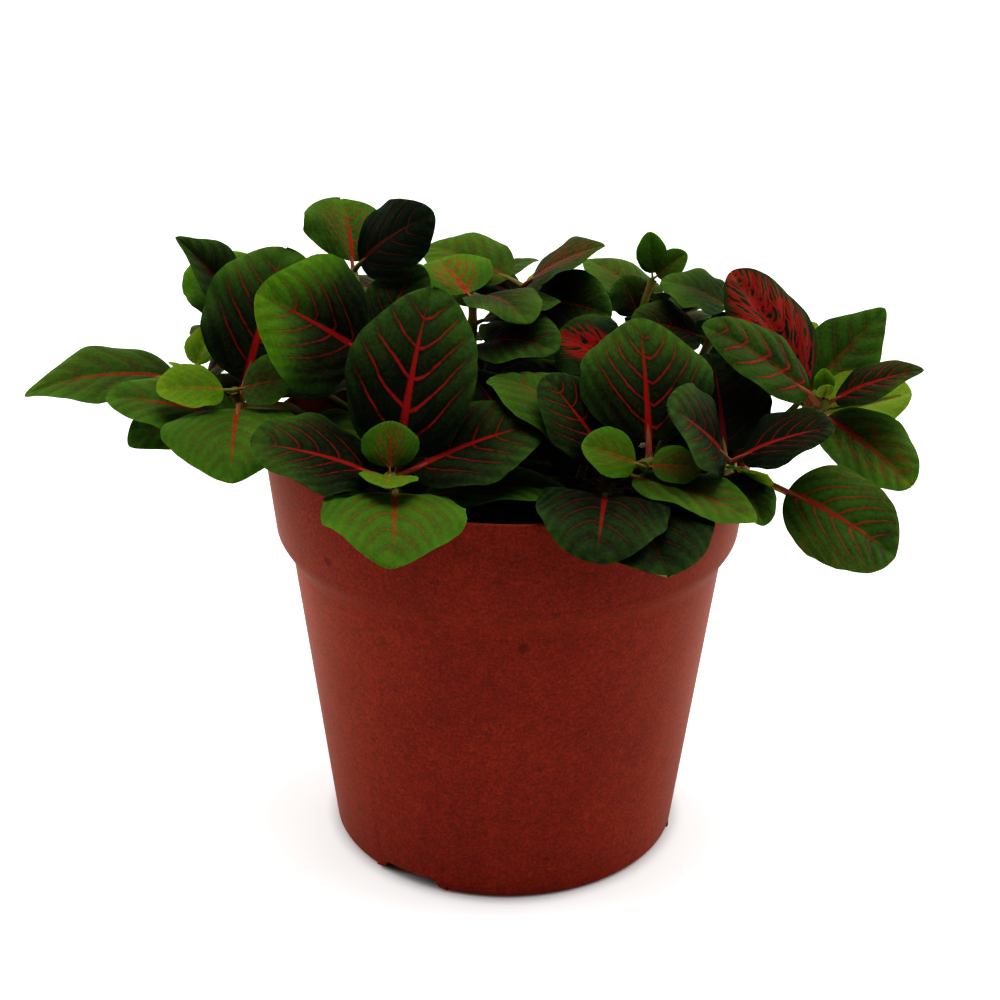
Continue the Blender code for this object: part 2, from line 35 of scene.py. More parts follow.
# Added to a shoot's number, or alone, to seed what only the looks draw.
LOOK_SEED = 500
HAIR_SEED = 700
SOIL_SEED = 900

# The pot and the plant's main sizes, as in the part.
POT_HEIGHT = 107 * MM
RIM_RADIUS = 60 * MM
BAND_FOOT = 84.5 * MM
BAND_FOOT_RADIUS = 57.5 * MM
BODY_TOP = 75.5 * MM
BODY_TOP_RADIUS = 53.5 * MM
BASE_RADIUS = 44 * MM
WALL = 1.3 * MM
FLOOR = 1.4 * MM
CHANNEL_ANGLES = (-122, -2, 118)
CHANNEL_WIDTH = 19 * MM
CHANNEL_HEIGHT = 3.2 * MM
CHANNEL_START = 20 * MM
CHANNEL_SLOPE = 2.4 * MM
DRAIN_RADIUS = 3.5 * MM
DRAIN_PLACE = 32 * MM
SOIL_TOP = 99 * MM
PETIOLE_HALF = 0.9 * MM
INNER_RIM_RADIUS = 53 * MM

# Settling, as in the part.
CLEARANCE = 2.6 * MM
REACH = 8 * MM
STEM_CLEARANCE = 4.2 * MM
ROUNDS = 60
LARGEST_STEP = math.radians(2.5)

# Finer than the part: rows and columns of faces on each side of a leaf.
FINE_GRIDS = {"leaf": (46, 24), "filler": (28, 16), "young": (26, 18)}

# A leaf's thickness, and the size of its groove where the blade has its full length.
FULL_LENGTH = 30 * MM
LEAF_THICK = 0.38 * MM
EDGE_THICK = 0.14 * MM
GROOVE_DEPTH = 0.35 * MM
GROOVE_WIDTH = 0.9 * MM

# Hairs on a stem, and a hair's radius at its root, middle and tip, in millimetres.
HAIRS = 60
HAIR_RADII = (0.05, 0.035, 0.012)

# Rounded edges of the pot, on its lip and round its foot.
LIP = 0.45 * MM
FOOT_ROUND = 2 * MM

# A direction that no tube runs in, to start its rings from.
ODD_WAY = (0.31, 0.87, 0.38)


def leaf(heading, rise, length, width, roll=0, arch=25, fold=0.3, stalk=0.14):
    """A grown leaf: angles in degrees, sizes in millimetres, free for how readily it gives way."""
    return dict(kind="leaf", heading=heading, rise=rise, length=length * MM, width=width * MM,
                roll=roll, arch=arch, fold=fold, stalk=stalk, free=0.35)


def young(heading, rise, length, width, roll=0):
    return leaf(heading, rise, length, width, roll, arch=12) | dict(kind="young")


def filler(heading, rise, length, width, roll=0, arch=25):
    """A leaf low in the plant or at its back, which gives way before the others."""
    return leaf(heading, rise, length, width, roll, arch) | dict(kind="filler", free=1)


def node(x, y, z, *leaves):
    return dict(place=np.array((x, y, z)) * MM, leaves=list(leaves))


SHOOTS = {
    "shoot_front_left": ((-22, -38), [
        node(-24, -43, 105, leaf(-165, 4, 20, 15), leaf(4, 6, 38, 22)),
        node(-25, -46, 109, leaf(74, 58, 47, 31), leaf(-87, -7, 34, 31, arch=50)),
        node(-26, -48, 112, leaf(-174, 19, 32, 27, roll=-15), leaf(16, 18, 36, 26, roll=18)),
        node(-26, -49, 114, young(90, 60, 12, 13), young(-90, 5, 14, 13)),
    ]),
    "shoot_left": ((-42, -18), [
        node(-58, -18, 112, leaf(-177, 14, 37, 23, roll=-14), leaf(-12, 6, 29, 21)),
        node(-63, -18, 119, leaf(-87, -14, 31, 32, arch=45), leaf(66, 53, 40, 29, roll=21)),
        node(-64, -20, 123, young(-160, 5, 18, 15, roll=-25), young(-14, 28, 16, 15, roll=30)),
    ]),
    "shoot_far_left": ((-46, 4), [
        node(-54, 4, 110),
        node(-70, 3, 111, leaf(-141, -10, 27, 18, roll=-22), filler(75, 0, 24, 18)),
        node(-76, 4, 116, leaf(-169, -1, 42, 22, roll=-18, arch=50), filler(20, 30, 24, 20)),
        node(-77, 5, 119, young(60, 55, 13, 10), young(-120, 25, 9, 8)),
    ]),
    "shoot_back_left": ((-38, 22), [
        node(-62, 20, 118, filler(125, 5, 30, 22), filler(-50, 25, 22, 18)),
        node(-67, 20, 127, leaf(-153, 52, 29, 17, roll=-48, fold=0.5), leaf(128, 42, 22, 20, roll=-25)),
    ]),
    "shoot_middle_left": ((-28, -6), [
        node(-31, -9, 116, filler(115, 15, 26, 20), filler(-95, 15, 20, 16)),
        node(-31, -10, 122, filler(-168, -6, 27, 19), filler(15, 8, 22, 16)),
        node(-32, -11, 128, leaf(-156, 26, 34, 33, roll=-70), leaf(55, 45, 26, 17, roll=10)),
        node(-38, 7, 144, leaf(108, 46, 20, 25, roll=15),
             leaf(-14, 37, 26, 20, roll=55, arch=50, fold=0.1)),
    ]),
    "shoot_middle": ((-8, 4), [
        node(-8, 2, 116, filler(-130, 15, 24, 18), filler(30, 18, 26, 20)),
        node(-9, 3, 126, leaf(-43, 6, 28, 21, roll=18, arch=50), filler(140, 25, 24, 18)),
        node(-9, 4, 132, filler(-155, 8, 22, 16), filler(5, 10, 22, 19)),
        node(-9, 5, 138, young(118, 12, 19, 20, roll=-8), leaf(-55, 0, 23, 19, arch=60)),
    ]),
    "shoot_middle_back": ((8, 22), [
        node(6, 20, 128, filler(60, 10, 30, 22), filler(-100, 10, 20, 16)),
        node(4, 18, 134, leaf(-24, -6, 22, 18, roll=50, arch=70), filler(150, 8, 22, 17)),
        node(3, 17, 138, leaf(-3, 24, 23, 22, roll=10), leaf(146, 13, 30, 19, roll=-20)),
    ]),
    "shoot_tall": ((30, 20), [
        node(33, 25, 127, leaf(139, 53, 12, 12, roll=-37), young(-41, 30, 10, 8)),
        node(36, 28, 137, young(80, 76, 12, 8, roll=18), young(0, 46, 11, 8, roll=50)),
    ]),
    "shoot_right_back": ((38, 4), [
        node(49, 6, 128, leaf(-162, 22, 21, 18, roll=-26), filler(40, 10, 26, 20)),
        node(55, 8, 134, leaf(161, 15, 20, 20, roll=-10, arch=40), filler(70, -5, 20, 16)),
    ]),
    "shoot_middle_right": ((18, -12), [
        node(24, -12, 118, filler(100, 10, 24, 18), leaf(170, 14, 27, 15, roll=-20)),
        node(27, -10, 127, leaf(162, 27, 18, 20, roll=-34), young(-20, 35, 11, 9)),
    ]),
    "shoot_inner": ((-2, -22), [
        node(-1, -23, 108, filler(35, 12, 26, 20), filler(-140, 6, 24, 18)),
        node(0, -24, 115, filler(120, 22, 26, 20), filler(-60, 8, 22, 17)),
        node(0, -24, 119, young(30, 35, 12, 10), young(-150, 30, 12, 10)),
    ]),
    "shoot_front_right": ((22, -34), [
        node(22, -41, 104, leaf(-70, -6, 36, 32, arch=60)),
        node(22, -42, 106.5, leaf(-97, 0, 35, 29, arch=60)),
        node(22, -41, 109.5, leaf(147, 22, 38, 26, arch=70)),
        node(24, -42, 112, leaf(157, 36, 27, 20, roll=-35), leaf(-28, -4, 34, 21, roll=7)),
        node(31.5, -42, 115, leaf(80, 50, 34, 31, roll=7)),
        node(30, -46, 115.5, young(-178, 16, 15, 13, roll=-36), young(-5, 12, 13, 11, roll=32)),
    ]),
    "shoot_right": ((42, -24), [
        node(50, -31, 109, leaf(-22, -20, 43, 26, roll=31, arch=45, stalk=0.35),
             leaf(85, 48, 32, 24, roll=4)),
        node(51, -34, 111, leaf(-50, -24, 18, 12), young(-66, 16, 14, 11, roll=140)),
        node(50, -37, 113, leaf(-156, 32, 28, 22, roll=-44), leaf(-18, 14, 25, 25, roll=22)),
    ]),
    "shoot_far_right": ((47, -4), [
        node(54, -5, 110),
        node(66, -8, 113, leaf(25, 30, 38, 18, roll=45, arch=10), leaf(2, 12, 31, 18, roll=-75, arch=-10)),
        node(72, -12, 117, leaf(156, 57, 38, 23, roll=-25), leaf(-39, -19, 30, 21, roll=20, arch=30)),
        node(74, -15, 119, leaf(-168, 34, 37, 17, roll=-40), leaf(3, 31, 25, 16, roll=5)),
        node(74, -15, 121, young(90, 70, 7, 5), young(-90, 50, 6, 4)),
    ]),
}

# The side that the photograph doesn't show: roots, crowns, grown by rule.
BACK_SHOOTS = {
    "shoot_rear_left": ((-36, 30), (-54, 48, 119)),
    "shoot_rear_middle_left": ((-18, 36), (-24, 52, 124)),
    "shoot_rear_middle": ((6, 46), (8, 68, 118)),
    "shoot_rear_right": ((30, 36), (44, 54, 121)),
    "shoot_rear_far_right": ((42, 16), (68, 26, 117)),
}


def grow_back_shoot(index, root, crown):
    """Three pairs of leaves, each pair square to the one below, the youngest at the top."""
    random = np.random.default_rng((SEED, index))
    root = np.array((root[0], root[1], SOIL_TOP / MM))
    crown = np.array(crown, float)
    outward = math.degrees(math.atan2(crown[1], crown[0]))
    nodes = []
    for step, share in enumerate((0.45, 0.78, 1.0)):
        place = root + (crown - root) * (share, share, share ** 0.6)
        leaves = []
        for half in (0, 1):
            heading = outward + 90 * (step % 2) + 180 * half + random.uniform(-14, 14)
            inward = math.cos(math.radians(heading - outward)) < -0.5
            if step < 2:
                length = random.uniform(28, 37) * (0.75 if inward else 1)
                rise = (4, 16)[step] + random.uniform(-6, 8) + 15 * inward
                leaves.append(filler(heading, rise, length, length * random.uniform(0.62, 0.74),
                                     random.uniform(-12, 12), random.uniform(20, 45)))
            else:
                length = random.uniform(12, 18)
                leaves.append(young(heading, random.uniform(25, 50), length, length * 0.75,
                                    random.uniform(-10, 10)))
        nodes.append(node(*place, *leaves))
    return nodes


def axes_of(blade):
    """The blade's own directions: along its midrib, across it, and out of its upper face."""
    heading, rise, roll = (math.radians(blade[name]) for name in ("heading", "rise", "roll"))
    flat = np.array((math.cos(heading), math.sin(heading), 0))
    along = math.cos(rise) * flat + (0, 0, math.sin(rise))
    up = -math.sin(rise) * flat + (0, 0, math.cos(rise))
    normal = math.cos(roll) * up + math.sin(roll) * np.cross(along, up)
    return np.array((along, np.cross(along, normal), normal))


def half_width(blade, along):
    """Half the blade's width, along running from the petiole's end, 0, to the tip, 1."""
    skewed = np.clip(along, 0, 1) ** 0.92
    oval = blade["width"] / 2 * np.clip(4 * skewed * (1 - skewed), 0, 1) ** 0.54
    return np.maximum(oval, PETIOLE_HALF * (1 - 0.4 * np.clip(along, 0, 1)))


def blade_points(blade, t, v):
    """Points of the middle surface: t from the node, 0, to the tip, 1; v across from -1 to 1."""
    arch = math.radians(blade["arch"] or 1)
    radius = blade["length"] / (2 * math.sin(arch / 2))
    turn = arch * (0.5 - t)
    forward = radius * (math.sin(arch / 2) - np.sin(turn))
    lift = radius * (np.cos(turn) - math.cos(arch / 2))
    along = (t - blade["stalk"]) / (1 - blade["stalk"])
    half = half_width(blade, along)
    blend = np.clip(4 * along, 0, 1)
    edge = np.abs(v)
    wave = np.sin(blade["waves"] * math.pi * along + blade["phase"] + 1.7 * (v > 0))
    bend = half * blend * (blade["fold"] * edge - blade["curl"] * edge ** 2)
    bend = bend + blade["ripple"] * blend * wave * edge ** 3
    local = np.stack((forward - np.sin(turn) * bend, v * half,
                      lift + np.cos(turn) * bend), axis=-1)
    return blade["base"] + local @ blade["axes"]


def plan_plant():
    """Every shoot's stem points and leaves, in the order in which they are made."""
    shoots = {}
    table = dict(SHOOTS)
    for index, (name, (root, crown)) in enumerate(BACK_SHOOTS.items()):
        table[name] = (root, grow_back_shoot(index, root, crown))
    for index, (name, (root, nodes)) in enumerate(table.items()):
        random = np.random.default_rng((SEED, 100 + index))
        foot = np.array((root[0] * MM, root[1] * MM, SOIL_TOP))
        blades = []
        for place in nodes:
            for blade in place["leaves"]:
                tender = blade["kind"] == "young"
                blades.append(blade | dict(
                    base=place["place"], axes=axes_of(blade), phase=random.uniform(0, 6),
                    waves=random.uniform(3, 5), ripple=blade["width"] * (0.015 if tender else 0.03),
                    curl=0.15 if tender else 0.24))
        stem = [foot, foot + (0, 0, 2 * MM)] + [place["place"] for place in nodes]
        shoots[name] = dict(foot=foot, stem=np.array(stem), blades=blades)
    return shoots


def turn_matrices(spins):
    """The rotations by an array of small turn vectors."""
    angles = np.maximum(np.linalg.norm(spins, axis=1), 1e-12)[:, None, None]
    x, y, z = (spins / angles[:, 0]).T
    zero = np.zeros_like(x)
    cross = np.array(((zero, -z, y), (z, zero, -x), (-y, x, zero))).transpose(2, 0, 1)
    return np.identity(3) + np.sin(angles) * cross + (1 - np.cos(angles)) * cross @ cross


def unit(vectors):
    return vectors / np.maximum(np.linalg.norm(vectors, axis=-1, keepdims=True), 1e-12)


def grid_normals(points):
    return unit(np.cross(np.gradient(points, axis=1), np.gradient(points, axis=0)))


def sample_blade(blade):
    """Points spread over a blade, and which way its upper face looks at each."""
    t, v = np.meshgrid((0.3, 0.45, 0.6, 0.75, 0.88, 0.98), (-0.95, -0.5, 0.0, 0.5, 0.95), indexing="ij")
    points = blade_points(blade, t, v)
    return points.reshape(-1, 3), grid_normals(points).reshape(-1, 3)


def near_pairs(points):
    """Every two blades that could touch, by the spheres round them."""
    middles = points.mean(axis=1)
    radii = np.linalg.norm(points - middles[:, None], axis=2).max(axis=1)
    apart = np.linalg.norm(middles[:, None] - middles[None], axis=2)
    return np.nonzero(np.triu(apart < radii[:, None] + radii[None] + REACH, 1))


def press_apart(points, others, normals, rooted, clearance):
    """Pushes out of the other blade's face, to the side on which most of this blade lies."""
    apart = points[:, :, None] - others[:, None]
    distance = np.linalg.norm(apart, axis=3)
    nearest = distance.argmin(axis=2)
    gap = distance.min(axis=2)
    pair = np.arange(len(points))[:, None]
    normal = normals[pair, nearest]
    height = (apart[pair, np.arange(points.shape[1])[None], nearest] * normal).sum(axis=2)
    close = (gap < REACH) & ~rooted
    side = np.where((height * close).sum(axis=1, keepdims=True) >= 0, 1.0, -1.0)
    beside = np.sqrt(np.maximum(gap ** 2 - height ** 2, 0))
    missing = np.clip(clearance - side * height, 0, 3 * clearance)
    missing = np.where(close & (beside < 0.55 * REACH), missing, 0)
    return (side * missing)[:, :, None] * normal, nearest


def rim_push(points):
    """Pushes up off the soil and the rim, or out from the pot's wall."""
    radius = np.linalg.norm(points[..., :2], axis=-1)
    top = np.where(radius > INNER_RIM_RADIUS, POT_HEIGHT + 2.2 * MM, SOIL_TOP + 3 * MM)
    over = np.clip(top - points[..., 2], 0, None)
    beyond = np.clip(RIM_RADIUS + 2.5 * MM - radius, 0, None)
    outward = (radius > INNER_RIM_RADIUS + 3 * MM) & (beyond < over)
    push = np.zeros_like(points)
    push[..., 2] = np.where((beyond > 0) & ~outward, over, 0)
    push[..., :2] += np.where(outward, beyond / radius, 0)[..., None] * points[..., :2]
    return push


def stem_push(points, homes, stem_points, stem_homes):
    """Pushes away from other shoots' stems."""
    apart = points[:, :, None] - stem_points
    distance = np.linalg.norm(apart, axis=3)
    distance = np.where(homes[:, None, None] == stem_homes, 1.0, distance)
    nearest = distance.argmin(axis=2)[:, :, None]
    gap = np.take_along_axis(distance, nearest, axis=2)
    away = np.take_along_axis(apart, nearest[..., None], axis=2)[:, :, 0]
    return away / gap * np.clip(STEM_CLEARANCE - gap, 0, None)


def settle(shoots):
    """Turns blades a little about their nodes until they lie clear of each other, as real ones do."""
    blades = [blade for shoot in shoots.values() for blade in shoot["blades"]]
    homes = np.array([home for home, shoot in enumerate(shoots.values()) for _ in shoot["blades"]])
    stems = [np.concatenate([np.linspace(a, b, 8) for a, b in zip(shoot["stem"][1:], shoot["stem"][2:])])
             for shoot in shoots.values()]
    stem_points = np.concatenate(stems)
    stem_homes = np.repeat(np.arange(len(stems)), [len(stem) for stem in stems])
    bases = np.array([blade["base"] for blade in blades])[:, None]
    free = np.array([blade["free"] for blade in blades])[:, None, None]
    most = np.radians(8.5 + 25 * free[:, 0, 0])
    points, normals = (np.array(each) for each in zip(*(sample_blade(blade) for blade in blades)))
    total = np.tile(np.identity(3), (len(blades), 1, 1))
    for _ in range(ROUNDS):
        pushes = rim_push(points) + stem_push(points, homes, stem_points, stem_homes)
        first, second = near_pairs(points)
        same = homes[first] == homes[second]
        clearance = np.where(same, 0.6, 1.0)[:, None] * CLEARANCE
        rooted_reach = np.where(same, 9 * MM, 2 * MM)[:, None]
        for one, other in ((first, second), (second, first)):
            rooted = np.linalg.norm(points[one] - bases[other], axis=2) < rooted_reach
            push, nearest = press_apart(points[one], points[other], normals[other], rooted, clearance)
            share = free[one] / (free[one] + free[other])
            np.add.at(pushes, one, share * push)
            np.add.at(pushes, (other[:, None], nearest), (share - 1) * push)
        arms = points - bases
        reach = (arms ** 2).sum(axis=2)
        pressed = np.abs(pushes).sum(axis=2) > 0
        inertia = (reach * pressed).sum(axis=1) + 0.25 * reach.sum(axis=1)
        spins = 0.6 * np.cross(arms, pushes).sum(axis=1) / inertia[:, None]
        size = np.maximum(np.linalg.norm(spins, axis=1, keepdims=True), 1e-12)
        spins *= np.minimum(1, LARGEST_STEP / size)
        turned = turn_matrices(spins) @ total
        angles = np.arccos(np.clip((np.trace(turned, axis1=1, axis2=2) - 1) / 2, -1, 1))
        spins[angles > most] = 0
        step = turn_matrices(spins)
        total = step @ total
        points = bases + arms @ step.transpose(0, 2, 1)
        normals = normals @ step.transpose(0, 2, 1)
    for blade, turn in zip(blades, total):
        blade["axes"] = blade["axes"] @ turn.T
    return shoots


# How each leaf looks, in the order of the table. Tone runs from 0, deep green, to 1, lime; climb is
# how much lighter the leaf grows towards its tip; red, side and rib are how strong its colour is in
# all its veins, in the side veins and in the midrib; broad widens the veins; net is how dense its
# fine red net is, and spread how far from the midrib the net reaches.


def look(tone, red=0.9, net=0.12, side=0.7, rib=1.0, broad=1.0, spread=1.0, climb=0.3):
    return tone, red, net, side, rib, broad, spread, climb


DEEP = look(0.06, 0.8, side=0.5)
SHADED = look(0.04, 0.5, 0.08, side=0.4)
LOOKS = {
    "shoot_front_left": [
        look(0.05, 0.5), look(0.42, 0.5, climb=0.2), look(0.0, 1, side=0.9, climb=0.36),
        look(0.56, 0.7, 0.22, side=0.6, climb=0.1), look(0.04, 0.95, 0.15, side=0.5, climb=0.34),
        look(0.03, 0.95, 0.15, side=0.5, climb=0.34),
        look(0.58, 0.8, 0.4, side=0.5, broad=1.6, spread=0.7, climb=0),
        look(0.78, 0.5, 0.4, side=0.5, broad=1.2, climb=0)],
    "shoot_left": [
        look(0.4, 0.9, side=0.35, climb=0.2), look(0.4, 0.6), look(0.54, 0.85, 0.14, side=0.22, climb=0.1),
        look(0.03, 1, side=0.5, climb=0.5), look(0.88, 0.55, 0.2, broad=1.3, climb=0),
        look(0.4, 0.5, 0.3, side=0.5, climb=0.1)],
    "shoot_far_left": [
        look(0.42, 0.4, side=0.3, climb=0.1), DEEP, look(0.4, 0.75, 0.2, side=0.25, broad=0.8, climb=0.2),
        DEEP, look(0.85, 0.4, 0.3), look(0.75, 0.4, 0.3)],
    "shoot_back_left": [DEEP, DEEP, look(0.08, 0.4, side=0.4), look(0.5, 0.3, side=0.4)],
    "shoot_middle_left": [
        SHADED, SHADED, SHADED, SHADED, look(0.05, 1, 0.15, side=0.5, climb=0.82), look(0.1, 0.5, side=0.5),
        look(0.5, 1, 0.15, side=0.75, broad=1.4, climb=0.1), look(0.0, 0.25, 0.05, climb=0)],
    "shoot_middle": [
        SHADED, SHADED, look(0.1, 0.6, side=0.5), DEEP, SHADED, SHADED,
        look(0.64, 1, 0.4, side=0.95, broad=1.8, spread=0.65, climb=0.05), look(0.25, 0.5, 0.2, side=0.5)],
    "shoot_middle_back": [
        DEEP, SHADED, look(0.15, 0.6), SHADED, look(0.25, 1, 0.3, side=0.6, broad=1.2, climb=0.1),
        look(0.52, 0.45, 0.35, side=0.35, climb=0.1)],
    "shoot_tall": [
        look(0.2, 0.4), look(0.4, 0.4), look(0.6, 0.15, 0.05, climb=0.1), look(0.5, 0.4, 0.2, climb=0.1)],
    "shoot_right_back": [look(0.1, 0.6), DEEP, look(0.25, 0.3, side=0.4), DEEP],
    "shoot_middle_right": [
        SHADED, look(0.35, 0.9, 0.5, side=0.9), look(0.06, 1, 0.9, side=0.9, spread=0.6),
        look(0.4, 0.6, 0.2)],
    "shoot_inner": [SHADED, SHADED, SHADED, SHADED, look(0.5, 0.5), look(0.45, 0.5)],
    "shoot_front_right": [
        look(0.02, 0.5, 0.1, side=0.4, climb=0.16), look(0.03, 0.6, side=0.4, climb=0.2),
        look(0.4, 0.5, climb=0.12), look(0.02, 0.95, side=0.75, climb=0.25),
        look(0.47, 0.7, 0.25, side=0.6, climb=0.1), look(0.05, 1, 0.15, side=0.75, climb=0.5),
        look(0.66, 0.6, 0.3, side=0.5, broad=1.3, climb=0), look(0.6, 0.75, 0.4, broad=1.6, climb=0)],
    "shoot_right": [
        look(0.4, 0.88, 0.24, broad=1.1, spread=-1, climb=0), look(0.0, 0.45, 0.05, side=0.3, climb=0.1),
        look(0.3, 0.4, 0.2), look(0.85, 0.5), look(0.05, 0.8, side=0.5, climb=0.25),
        look(0.0, 1, side=0.4, broad=1.4, climb=0.08)],
    "shoot_far_right": [
        look(0.46, 0.3, climb=0), look(1.0, 0.4), look(0.08, 0.95, 0.75, side=0.8, rib=0.8, climb=0),
        look(0.42, 0.9, 0.34, side=0.35, broad=1.1, spread=0.7, climb=0.15),
        look(0.29, 0.9, 0.15, side=1, rib=0.25, broad=1.2, climb=0.12),
        look(0.12, 1, 0.2, side=0.6, broad=1.4, climb=0.2), look(0.65, 0.4, 0.1), look(0.65, 0.4, 0.1)],
}

# Leaves with a drawn-out tip, by shoot and order: how far their sides draw in towards it.
POINTED = {
    ("shoot_far_left", 2): 0.6, ("shoot_far_left", 0): 0.3, ("shoot_back_left", 2): 0.6,
    ("shoot_front_left", 3): 0.25, ("shoot_left", 2): 0.3, ("shoot_front_right", 5): 0.4,
    ("shoot_middle_left", 4): 0.25, ("shoot_middle_back", 4): 0.4, ("shoot_far_right", 0): 0.5,
    ("shoot_far_right", 5): 0.5, ("shoot_middle_right", 1): 0.45, ("shoot_right", 5): 0.25,
}

# A shoot's material slots.
LEAF_TOP, LEAF_UNDER, STEM, HAIR = range(4)

# The tone and the red of a stem's skin.
STEM_LOOK = (0.2, 0.6, 0)


def add_object(name, data):
    thing = bpy.data.objects.new(name, data)
    bpy.context.scene.collection.objects.link(thing)
    return thing


class Surface:
    """Gathers vertices, faces and named values of the vertices, and makes one mesh object of them."""

    def __init__(self, *names):
        self.points = []
        self.faces = []
        self.slots = []
        self.values = {name: [] for name in names}
        self.count = 0

    def add(self, points, faces, slot=0, **values):
        """Adds vertices, and faces that count from the first of them. A value that isn't given is 0."""
        points = np.asarray(points, float).reshape(-1, 3)
        self.points.append(points)
        for name, gathered in self.values.items():
            gathered.append(np.broadcast_to(np.asarray(values.get(name, 0), float), (len(points), 3)))
        self.add_faces(faces, slot)
        self.count += len(points)

    def add_faces(self, faces, slot):
        self.faces += [tuple(corner + self.count for corner in face) for face in faces]
        self.slots += [slot] * len(faces)

    def to_object(self, name, materials, sharp=50):
        mesh = bpy.data.meshes.new(name)
        mesh.from_pydata(np.concatenate(self.points), [], self.faces)
        for material in materials:
            mesh.materials.append(material)
        mesh.polygons.foreach_set("material_index", self.slots)
        for key, values in self.values.items():
            attribute = mesh.attributes.new(key, "FLOAT_VECTOR", "POINT")
            attribute.data.foreach_set("vector", np.concatenate(values).astype(np.float32).ravel())
        mesh.validate()
        mesh.shade_smooth()
        mesh.set_sharp_from_angle(angle=math.radians(sharp))
        return add_object(name, mesh)


def flipped(faces):
    """The same faces, looking the other way."""
    return [(face[0], *face[:0:-1]) for face in faces]


def grid_faces(rows, columns):
    """Faces between rows of vertices, each row holding columns of them."""
    return [(corner, corner + columns, corner + columns + 1, corner + 1)
            for row in range(rows - 1) for corner in range(row * columns, row * columns + columns - 1)]


def tube_faces(rings, sides):
    """Faces between rings of vertices, and one at each end."""
    faces = []
    for first in range(0, (rings - 1) * sides, sides):
        for one in range(sides):
            two = (one + 1) % sides
            faces.append((first + one, first + two, first + sides + two, first + sides + one))
    ends = tuple(range(sides))[::-1], tuple(range((rings - 1) * sides, rings * sides))
    return faces + [*ends]


def border(rows, columns):
    """The vertices round a grid's edge, in order."""
    grid = np.arange(rows * columns).reshape(rows, columns)
    return np.concatenate((grid[0], grid[1:, -1], grid[-1, -2::-1], grid[-2:0:-1, 0])).tolist()


def ramp(value, low, high):
    """A smooth rise from 0 at low to 1 at high."""
    share = np.clip((value - low) / (high - low), 0, 1)
    return share * share * (3 - 2 * share)


def vein_phase(blade, along, reach, side):
    """A whole number along each side vein. reach is the distance from the midrib over the length."""
    climb = along - 0.66 * reach - 1.5 * reach ** 2
    return blade["pairs"] * climb + blade["skew"] * side * np.clip(reach / 0.06, 0, 1) + 0.35


def outline(blade, along, across):
    """How far the edge lies from the part's plain oval: drawn in at the tip, and a little uneven."""
    seed = blade["seed"]
    side = 2.1 * (across > 0)
    uneven = 0.012 * np.sin(11 * along + seed + side) + 0.010 * np.sin(25 * along + 2 * seed + 3 * side)
    uneven = uneven + 0.006 * np.sin(51 * along + 3 * seed + side)
    return 1 - blade["tip"] * ramp(along, 0.55, 1.0) + uneven * ramp(along, 0.08, 0.25)


def add_leaf(surface, blade):
    """A leaf blade: quilted between its side veins, with a groove on its midrib, thin at its edge."""
    rows, columns = FINE_GRIDS[blade["kind"]]
    along = (1 - np.cos(math.pi * np.linspace(0.015, 0.993, rows + 1))) / 2
    across = np.linspace(-1, 1, columns + 1)
    across = np.sign(across) * np.abs(across) ** 0.9
    along, across = np.meshgrid(along, across, indexing="ij")
    edge = np.abs(across)
    half = half_width(blade, along)
    length = blade["length"] * (1 - blade["stalk"])
    reach = edge * half / length
    phase = vein_phase(blade, along, reach, across > 0)
    size = length / FULL_LENGTH
    t = blade["stalk"] + (1 - blade["stalk"]) * along
    middle = blade_points(blade, t, across * outline(blade, along, across))
    field = ramp(edge, 0.04, 0.3) * (1 - ramp(edge, 0.75, 1)) * ramp(along, 0.02, 0.15)
    field = field * (1 - ramp(along, 0.85, 1))
    between = np.sin(math.pi * np.abs(phase - np.round(phase)))
    bulge = blade["quilt"] * size * MM * (between - 0.35) * field
    groove = GROOVE_DEPTH * size * np.exp(-(reach * length / (GROOVE_WIDTH * size)) ** 2) * (1 - along)
    half_thick = (EDGE_THICK + (LEAF_THICK - EDGE_THICK) * (1 - edge ** 2)) / 2
    normals = grid_normals(middle)
    points = [middle + normals * (bulge - groove + lift)[..., None] for lift in (half_thick, -half_thick)]

    slope = blade["pairs"] * np.sqrt(1 + (0.72 + 2.3 * reach) ** 2)
    rim = np.maximum(edge ** 3, ramp(along, 0.82, 1.0))
    lateral = across * half / MM
    values = {"veins": (phase, length / MM / slope, lateral), "place": (along, edge, rim),
              "spot": (lateral, along * length / MM, np.full_like(along, blade["seed"]))}
    values = {key: np.tile(np.stack(each, axis=-1).reshape(-1, 3), (2, 1)) for key, each in values.items()}
    tint = blade["look"]

    count = along.size
    faces = grid_faces(*along.shape)
    under = [tuple(corner + count for corner in face) for face in flipped(faces)]
    ring = border(*along.shape)
    rim_faces = [(a, b, b + count, a + count) for a, b in zip(ring, ring[1:] + ring[:1])]
    surface.add_faces(faces + rim_faces, LEAF_TOP)
    surface.add(points, under, LEAF_UNDER, look=tint[:3], trait=tint[3:6], size=(size, *tint[6:]), **values)


def smooth_path(points, steps):
    """A curve through all the points, with several steps between two."""
    points = np.asarray(points, float)
    padded = np.concatenate((2 * points[:1] - points[1:2], points, 2 * points[-1:] - points[-2:-1]))
    curve = []
    for one, two, three, four in zip(padded, padded[1:], padded[2:], padded[3:]):
        for share in np.arange(steps) / steps:
            curve.append(0.5 * (2 * two + (three - one) * share
                                + (2 * one - 5 * two + 4 * three - four) * share ** 2
                                + (3 * two - one - 3 * three + four) * share ** 3))
    return np.array(curve + [points[-1]])


